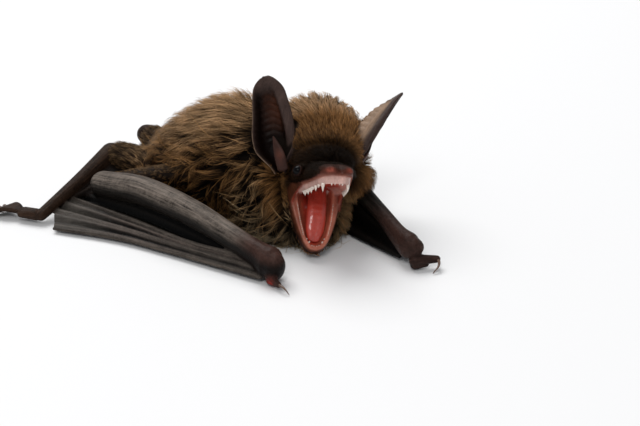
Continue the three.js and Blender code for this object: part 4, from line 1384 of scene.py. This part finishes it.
def hair_tints(root, hair, where, stray, lock_tone, dice):
    """Colour of each hair at each of its points, from a dark root to its tip's own colour."""
    head, throat, back, flank, chin, beard = (
        where[k] for k in ("head", "throat", "back", "flank", "chin", "beard")
    )
    local, count = HEAD.into(root), len(root)
    tip = tone("flank_tip") * (1 - back)[:, None] + tone("back_tip") * back[:, None]
    tip = mix(tip, tone("throat_tip"), throat)
    head_tip, shade = crown_tints(local, dice)
    tip = mix(tip, head_tip, head)
    # The beard beside the jaw is blond to its roots; it lies in shade under the head, so it is brightened
    # further as painted light.
    tip = mix(tip, tone("throat_tip"), beard)

    # Bright hairs among dark ones, most of all on the flank, where single strands show against the dark.
    few = dice.random(count)
    low = ease(6.5, 1.5, root[:, 2]) * flank
    apart = np.clip(flank + (1 - flank) * (1 - head) * 0.65 * ease(17, 11, root[:, 2]), 0, 1)
    apart = apart * (1 - 0.7 * beard)
    sparse = np.where(few < 0.38 + 0.12 * throat, 1.35, 0.18 + 0.3 * low)
    split = sparse * apart + np.where(few < 0.65, 1.12, 0.74) * (1 - apart)
    spread = 1 + 0.2 * lock_tone + (0.15 + 0.2 * head) * dice.normal(0, 1, count)
    tip = tip * np.where(stray, 1.5, split * np.clip(spread, 0.4, 1.7))[:, None]

    # Legs, the bridge of the nose and the sleeves are darker; the beard is brighter, as painted light; the
    # low flank is greyer and the chin browner.
    legs = ease(9.5, 13.5, root[:, 1]) * ease(10.5, 7.5, root[:, 2])
    bridge = ease(-3.8, -5.0, local[:, 1]) * ease(0.6, 1.6, local[:, 2])
    sleeve = ease(1.5, 1.1, hair) * (1 - head) * ease(-4, -1, root[:, 1])
    tip = tip * ((1 - 0.68 * legs) * (1 - 0.55 * bridge) * (1 - 0.55 * sleeve) * (1 + 2.4 * beard))[:, None]
    tip = tip * mix(1.0, np.array((1.6, 2.0, 2.5)), 0.8 * low) * mix(1.0, np.array((0.7, 0.44, 0.32)), chin)
    tip = tip / np.maximum(1, tip.max(axis=1, keepdims=True) / BRIGHTEST)
    base = tone("hair_root") + ((0.12 + 0.25 * ease(0.6, 1, shade)) * head)[:, None] * tip
    start = (0.12 + 0.3 * flank + 0.1 * throat - 0.1 * head - 0.5 * beard)[:, None].clip(0, 1)
    reach = np.linspace(0, 1, SPANS + 1)[None, :]
    return mix(base[:, None], tip[:, None], ease(0, 1, np.clip((reach - start) / (0.95 - start), 0, 1)))


def in_ear(line):
    """Which hairs would stand in the bowl of an ear: any point in front of the cup and within its rims."""
    found = np.zeros(len(line), bool)
    for side, front in (("right", -3.5), ("left", -0.6)):
        place, height = ear_place(side)
        x, y, z = columns_of(place.into(line.reshape(-1, 3)))
        v = z / height
        half = smooth_path(np.array(EAR_RIM, float), v)
        bowl = (np.abs(x) < half[:, 0] * 1.03) & (y < half[:, 1] + 0.8) & (y > front) & (v > 0.03) & (v < 1)
        found |= bowl.reshape(len(line), -1).any(axis=1)
    return found


def coat_mesh(name, line, width, tint, unwrap):
    """Closed three-sided hairs that taper to a point: the ring at t is the middle line ± a thickness that
    falls as the square root of 1 − t. Each hair's map is a patch 0.003 across at its root's place."""
    count, rings = line.shape[0], line.shape[1]
    tangent = unit(np.gradient(line, axis=1))
    side = unit(np.cross(tangent, np.array([0.31, 0.17, 0.93])))
    lift = np.cross(side, tangent)
    t = np.linspace(0, 1, rings)
    thick = (0.5 * width[:, None] * np.sqrt(np.clip(1 - t, 0, 1))[None, :])[:, :-1, None, None]
    angle = np.radians([90, 210, 330])[None, None, :, None]
    around = np.cos(angle) * side[:, :-1, None] + np.sin(angle) * lift[:, :-1, None]
    ring = line[:, :-1, None] + thick * around
    points = np.concatenate([ring.reshape(count, -1, 3), line[:, -1:]], axis=1)
    per = points.shape[1]
    last = (rings - 2) * 3
    cone = np.array([(last + k, last + (k + 1) % 3, per - 1) for k in range(3)])
    faces = many(np.concatenate([grid_faces(rings - 1, 3, True), cone, [(2, 1, 0)]]), per, count)
    tints = np.concatenate([np.repeat(tint[:, :-1], 3, axis=1), tint[:, -1:]], axis=1)
    obj = mesh_piece(name, points.reshape(-1, 3), faces, {"tint": tints.reshape(-1, 3)})
    across = np.concatenate([np.tile([0.0, 0.5, 1.0], rings - 1), [0.5]])
    along = np.concatenate([np.repeat(t[:-1], 3), [1.0]])
    patch = np.stack([across - 0.5, along - 0.5], axis=-1) * PATCH
    uv = (unwrap[:, None] + patch[None]).reshape(-1, 2)[faces.ravel()]
    obj.data.uv_layers.new(name="OFBake").data.foreach_set("uv", uv.astype(np.float32).ravel())
    return obj


def trunk_middle(y):
    """Where the trunk's middle line lies across, at a place along it."""
    return np.interp(y, [-8, 13], [5.3, -0.5])


def unwrap_of(root, on_head):
    """Where a root lies on an unwrap of the skin's shape: round the middle line of the trunk by angle and
    along it by distance, and round the head's long axis in the same way."""
    if on_head:
        x, y, z = columns_of(HEAD.into(root) - (0.8, 0, 3.6))
        angle, run = np.arctan2(x, z), (y + 9) / 20
    else:
        x, y, z = columns_of(root)
        angle, run = np.arctan2(x - trunk_middle(y), z - 6.5), (y + 22) / 46
    return np.stack([0.01 + 0.98 * (0.5 + angle / (2 * np.pi)), 0.01 + 0.98 * np.clip(run, 0, 1)], axis=1)


def build_coat():
    """Draws the roots and grows the hairs, then parts them into pieces by where they grow."""
    dice = np.random.default_rng(7)
    root, normal, hair, lie = hair_roots(skin_table(), sizes().hairs, dice)
    line, width, tint, keep = coat_curves(root, normal, hair, lie, dice)
    root = root[keep]
    on_head = coat_regions(root, normal[keep])["head"] > 0.5
    rear_of_head = HEAD.into(root)[:, 1] >= 1.0
    pieces = {"coat_crown": on_head & rear_of_head, "coat_face": on_head & ~rear_of_head}
    right = root[:, 0] - trunk_middle(root[:, 1]) < 0
    for name, start, end in (("throat", -99, -5.5), ("shoulder", -5.5, 2.5), ("rump", 2.5, 99)):
        here = ~on_head & (root[:, 1] >= start) & (root[:, 1] < end)
        pieces[f"coat_{name}_right"] = here & right
        pieces[f"coat_{name}_left"] = here & ~right
    material = hair_material()
    for name, mask in pieces.items():
        chosen = np.flatnonzero(mask)
        for part in range(int(np.ceil(len(chosen) / HAIRS_PER_PIECE))):
            some = chosen[part * HAIRS_PER_PIECE : (part + 1) * HAIRS_PER_PIECE]
            label = name if len(chosen) <= HAIRS_PER_PIECE else f"{name}_{part + 1}"
            unwrap = unwrap_of(root[some], on_head[some[0]])
            finish_piece(coat_mesh(label, line[some], width[some], tint[some], unwrap), material, "fur")


# ---- Eyes, mouth, teeth and claws ----


def build_eyes():
    """Black glossy eyeballs: radius × (sin a cos b, sin a sin b, cos a)."""
    material = plain_material("Bat eye", (0.002, 0.002, 0.0025), 0.05, 0.8, 0.2, 0.1, 0, specular=0.09)
    a = np.linspace(0, np.pi, 25)[:, None]
    b = np.linspace(0, 2 * np.pi, 32, endpoint=False)[None, :]
    ball = np.stack([np.sin(a) * np.cos(b), np.sin(a) * np.sin(b), np.cos(a) + 0 * b], axis=-1)
    for side, at in EYES.items():
        obj = ring_piece(f"eyeball_{side}", ball * (EYE_RADIUS - 0.02) + at, HEAD)
        finish_piece(obj, material, "eye", f"eye_{side}")


def build_tongue():
    """The tongue, a limb whose top is hollowed along the middle and whose edges stand up a little."""
    stations = [
        (0.75, 1.0, -1.2, 1.5, 0.8), (0.45, -1.5, -0.6, 1.35, 0.85), (0.1, -4.2, -0.45, 1.4, 0.8),
        (-0.25, -6.4, -0.65, 1.3, 0.6), (-0.45, -7.7, -0.9, 0.9, 0.4),
    ]
    points, own = limb(stations, around=32, steps=10, rounds=7)
    across = own[..., 1]
    waves = 0.04 * np.sin(points[..., 1] * 7) * np.exp(-((across / 0.9) ** 4))
    points[..., 2] -= (np.exp(-((across / 0.32) ** 2)) * 0.16 + waves) * ease(0, 0.5, own[..., 2])
    material = plain_material("Bat tongue", tone("tongue"), 0.3, 1.4, 0.16, 0.16, 0.5, coat=0.7)
    finish_piece(ring_piece("tongue_flesh", points, JAW), material, "mouth", "tongue")


def cones(bases, tips, radii, lean, around=8, rings=6):
    """Tapered points in one mesh: at t a ring of radius × (1 − t^1.6) on the line from base to tip, bowed
    by lean × 4t(1 − t)."""
    axis = unit(tips - bases)
    side = unit(np.cross(axis, (0.3, 0.9, 0.2)))
    lift = np.cross(side, axis)
    t = np.linspace(0, 1, rings)[None, :, None]
    middle = bases[:, None] + (tips - bases)[:, None] * t + lean[:, None] * 4 * t * (1 - t)
    radius = (radii[:, None] * (1 - t[..., 0] ** 1.6))[..., None, None]
    angle = np.linspace(0, 2 * np.pi, around, endpoint=False)[None, None, :, None]
    ring = middle[:, :, None] + radius * (
        np.cos(angle) * side[:, None, None] + np.sin(angle) * lift[:, None, None]
    )
    ring = np.concatenate([middle[:, :1, None] + 0 * ring[:, :1], ring], axis=1)
    faces = grid_faces(rings + 1, around, True)
    return ring.reshape(-1, 3), many(faces, (rings + 1) * around, len(bases))


def tooth_rows():
    """Bases, tips, radii and bows of the upper and lower teeth in the frames of the two jaws. Each row is
    (half width of the jaw, place along it, length, radius), from the front teeth past the canine to the
    sharp cusps of the cheek teeth."""
    row = [
        (0.3, -10.1, 0.42, 0.14), (0.72, -10.0, 0.5, 0.15), (1.68, -9.25, 1.25, 0.26), (2.0, -8.4, 0.5, 0.18),
        (2.2, -7.75, 0.8, 0.23),
    ]
    for i, y in enumerate(np.linspace(-7.0, -4.2, 7)):
        row.append((np.interp(y, [-7, -4], [2.38, 2.8]), y, 0.5 + 0.32 * (i % 2), 0.22))
    x, y, long, wide = np.array([(s * x, *rest) for x, *rest in row for s in (-1, 1)]).T
    lip = np.interp(y, [-10.7, -9.6, -8, -6, -4.2], [0.3, 0.25, 0.0, -0.3, -0.5])
    base = np.stack([x, y, lip - 0.74], axis=1)
    tip = base + np.stack([0 * x, 0.12 + 0 * x, -long], axis=1)
    bow = np.stack([0.05 * np.sign(x), -0.06 + 0 * x, 0 * x], axis=1) * long[:, None]
    upper = (base, tip, wide, bow)

    row = [
        (0.2, -8.95, 0.14, 0.09), (0.5, -8.85, 0.14, 0.09), (0.95, -8.4, 0.5, 0.14), (1.25, -7.9, 0.2, 0.1),
    ]
    for i, y in enumerate(np.linspace(-7.3, -2.8, 17)):
        row.append((np.interp(y, [-7.5, -5.2, -2.6], [1.72, 2.25, 2.62]), y, 0.14 + 0.14 * (i % 2), 0.11))
    x, y, long, wide = np.array([(s * x, *rest) for x, *rest in row for s in (-1, 1)]).T
    base = np.stack([x - JAW_BEND * y * y, y, -0.3 + 0 * x], axis=1)
    tip = base + np.stack([0 * x, 0.05 + 0 * x, long + 0.12], axis=1)
    return upper, (base, tip, wide, 0 * tip)


def build_teeth():
    """The upper and the lower row of teeth."""
    material = plain_material("Bat tooth", tone("tooth"), 0.25, 0.6, 0.15, 0.1, 0, coat=0.4)
    for name, place, row in zip(("teeth_upper", "teeth_lower"), (HEAD, JAW), tooth_rows()):
        points, faces = cones(*row)
        obj = mesh_piece(name, place.out(points), faces)
        tidy(obj)
        finish_piece(obj, material, "mouth")


def claw_limb(stations, radii):
    """A hooked claw: a limb on a smooth path that narrows to a point."""
    t = np.linspace(0, 1, 7)
    width = np.interp(t, np.linspace(0, 1, len(radii)), radii)
    fine = smooth_path(np.array(stations, float), t)
    return limb([(*p, r) for p, r in zip(fine, width)], around=12, steps=2, rounds=4)[0]


def build_claws():
    """Thumb claws and the ten claws of the feet, none of them under the floor."""
    material = plain_material("Bat claw", tone("claw"), 0.35, 0.8, 0.12, 0.4, 0.3, coat=0.3)
    for side, given in SIDES.items():
        radii = [0.32, 0.24, 0.15, 0.06] if side == "left" else [0.22, 0.17, 0.1, 0.04]
        hook = wing_place(side).out(claw_limb(mirrored(side, given["thumb_claw"]), radii))
        claws = []
        for across in TOES:
            tip = toe_tip(given["toes"], across)
            line = [tip, tip + (0, 0.6, 0.2), tip + (0, 1.1, 0), tip + (0, 1.3, -0.38)]
            claws.append(claw_limb(line, [0.26, 0.22, 0.14, 0.05]))
        for name, rings, nodes in (
            (f"thumb_hook_{side}", [hook], [f"thumb_claw_{side}"]),
            (f"toe_claws_{side}", claws, []),
        ):
            points = np.concatenate([ring.reshape(-1, 3) for ring in rings])
            points[:, 2] = np.maximum(points[:, 2], 0.02)
            rows, columns = rings[0].shape[:2]
            obj = mesh_piece(name, points, many(grid_faces(rows, columns, True), rows * columns, len(rings)))
            tidy(obj)
            finish_piece(obj, material, "claw", *nodes)


# ---- Stage ----


def build_stage():
    """A plain pale floor, soft light from above and behind with a pale sky all round, and the camera."""
    material, _, shader = new_material("Studio floor", Roughness=0.9)
    shader.inputs["Base Color"].default_value = (*tone("floor"), 1)
    half, under = 3000.0, -0.02
    corners = np.array([(x * half, y * half, under) for x, y in ((-1, -1), (1, -1), (1, 1), (-1, 1))])
    floor = mesh_piece("floor", corners, np.array([(0, 1, 2), (0, 2, 3)]), smooth=False)
    floor.data.materials.append(material)

    def lamp(name, place, aim, size, watts, tint):
        """A round area light that faces its aim."""
        light = bpy.data.lights.new(name, "AREA")
        light.shape, light.size, light.energy, light.color = "DISK", size, watts, tint
        obj = bpy.data.objects.new(name, light)
        obj.location = place
        obj.rotation_euler = (Vector(aim) - Vector(place)).to_track_quat("-Z", "Y").to_euler()
        bpy.context.scene.collection.objects.link(obj)

    lamp("window", (0.12, 0.38, 0.66), (0, -0.01, 0), 0.6, 4.7, (1.0, 0.995, 0.985))
    lamp("fill", (-0.42, -0.30, 0.55), (0, -0.01, 0.01), 0.28, 1.5, (1.0, 0.99, 0.975))
    world = bpy.data.worlds.new("Studio")
    world.use_nodes = True
    sky = world.node_tree.nodes["Background"]
    sky.inputs["Color"].default_value = (0.95, 0.97, 1.0, 1)
    sky.inputs["Strength"].default_value = 0.38
    bpy.context.scene.world = world
    bpy.context.scene.view_settings.view_transform = "Standard"

    camera = bpy.data.cameras.new("camera")
    camera.lens, camera.sensor_width, camera.clip_start, camera.clip_end = 78.75, 36, 0.005, 20
    seen = bpy.data.objects.new("camera", camera)
    azimuth, elevation, far, aim = np.radians(-45), np.radians(25), 0.206, Vector((0.010, -0.010, 0))
    flat = np.cos(elevation)
    back = Vector((np.sin(azimuth) * flat, -np.cos(azimuth) * flat, np.sin(elevation)))
    seen.location = aim + back * far
    seen.rotation_euler = (-back).to_track_quat("-Z", "Y").to_euler()
    bpy.context.scene.collection.objects.link(seen)
    bpy.context.scene.camera = seen


# ---- Operators, panel and registration ----


class BuildStage(Operator):
    """Sets the floor, the lights and the camera"""

    bl_idname = "bat.build_stage"
    bl_label = "Stage"

    def execute(self, context):
        build_stage()
        return {"FINISHED"}


class BuildSkin(Operator):
    """Builds the one skin that stands for every fleshy part"""

    bl_idname = "bat.build_skin"
    bl_label = "Skin"

    def execute(self, context):
        finish_piece(build_skin(), skin_material(), "membrane", *FLESH)
        return {"FINISHED"}


class BuildCoat(Operator):
    """Grows the coat of solid hair tufts on the skin"""

    bl_idname = "bat.build_coat"
    bl_label = "Coat"

    def execute(self, context):
        build_coat()
        return {"FINISHED"}


class BuildEyes(Operator):
    """Sets the two eyeballs"""

    bl_idname = "bat.build_eyes"
    bl_label = "Eyes"

    def execute(self, context):
        build_eyes()
        return {"FINISHED"}


class BuildMouth(Operator):
    """Builds the tongue and both rows of teeth"""

    bl_idname = "bat.build_mouth"
    bl_label = "Tongue and teeth"

    def execute(self, context):
        build_tongue()
        build_teeth()
        return {"FINISHED"}


class BuildClaws(Operator):
    """Builds the claws of thumbs and toes"""

    bl_idname = "bat.build_claws"
    bl_label = "Claws"

    def execute(self, context):
        build_claws()
        return {"FINISHED"}


STEPS = (BuildStage, BuildSkin, BuildCoat, BuildEyes, BuildMouth, BuildClaws)


class BatPanel(Panel):
    """Lists the steps and settings of the bat"""

    bl_idname = "VIEW3D_PT_crouching_bat"
    bl_label = "Crouching Bat"
    bl_space_type = "VIEW_3D"
    bl_region_type = "UI"
    bl_category = "Bat"

    def draw(self, context):
        for step in STEPS:
            self.layout.operator(step.bl_idname)
        for group in (context.scene.bat_sizes, context.scene.bat_colours):
            box = self.layout.box()
            for name in group.__annotations__:
                box.prop(group, name)


CLASSES = (BatSizes, BatColours, *STEPS, BatPanel)


def register():
    """Registers the classes and gives the scene its settings."""
    for cls in CLASSES:
        bpy.utils.register_class(cls)
    bpy.types.Scene.bat_sizes = PointerProperty(type=BatSizes)
    bpy.types.Scene.bat_colours = PointerProperty(type=BatColours)


def unregister():
    """Takes the settings and the classes away again."""
    del bpy.types.Scene.bat_colours
    del bpy.types.Scene.bat_sizes
    for cls in reversed(CLASSES):
        bpy.utils.unregister_class(cls)


def main():
    """Builds every piece by its operator."""
    register()
    bpy.ops.bat.build_stage()
    bpy.ops.bat.build_skin()
    bpy.ops.bat.build_coat()
    bpy.ops.bat.build_eyes()
    bpy.ops.bat.build_mouth()
    bpy.ops.bat.build_claws()


if __name__ == "__main__":
    main()
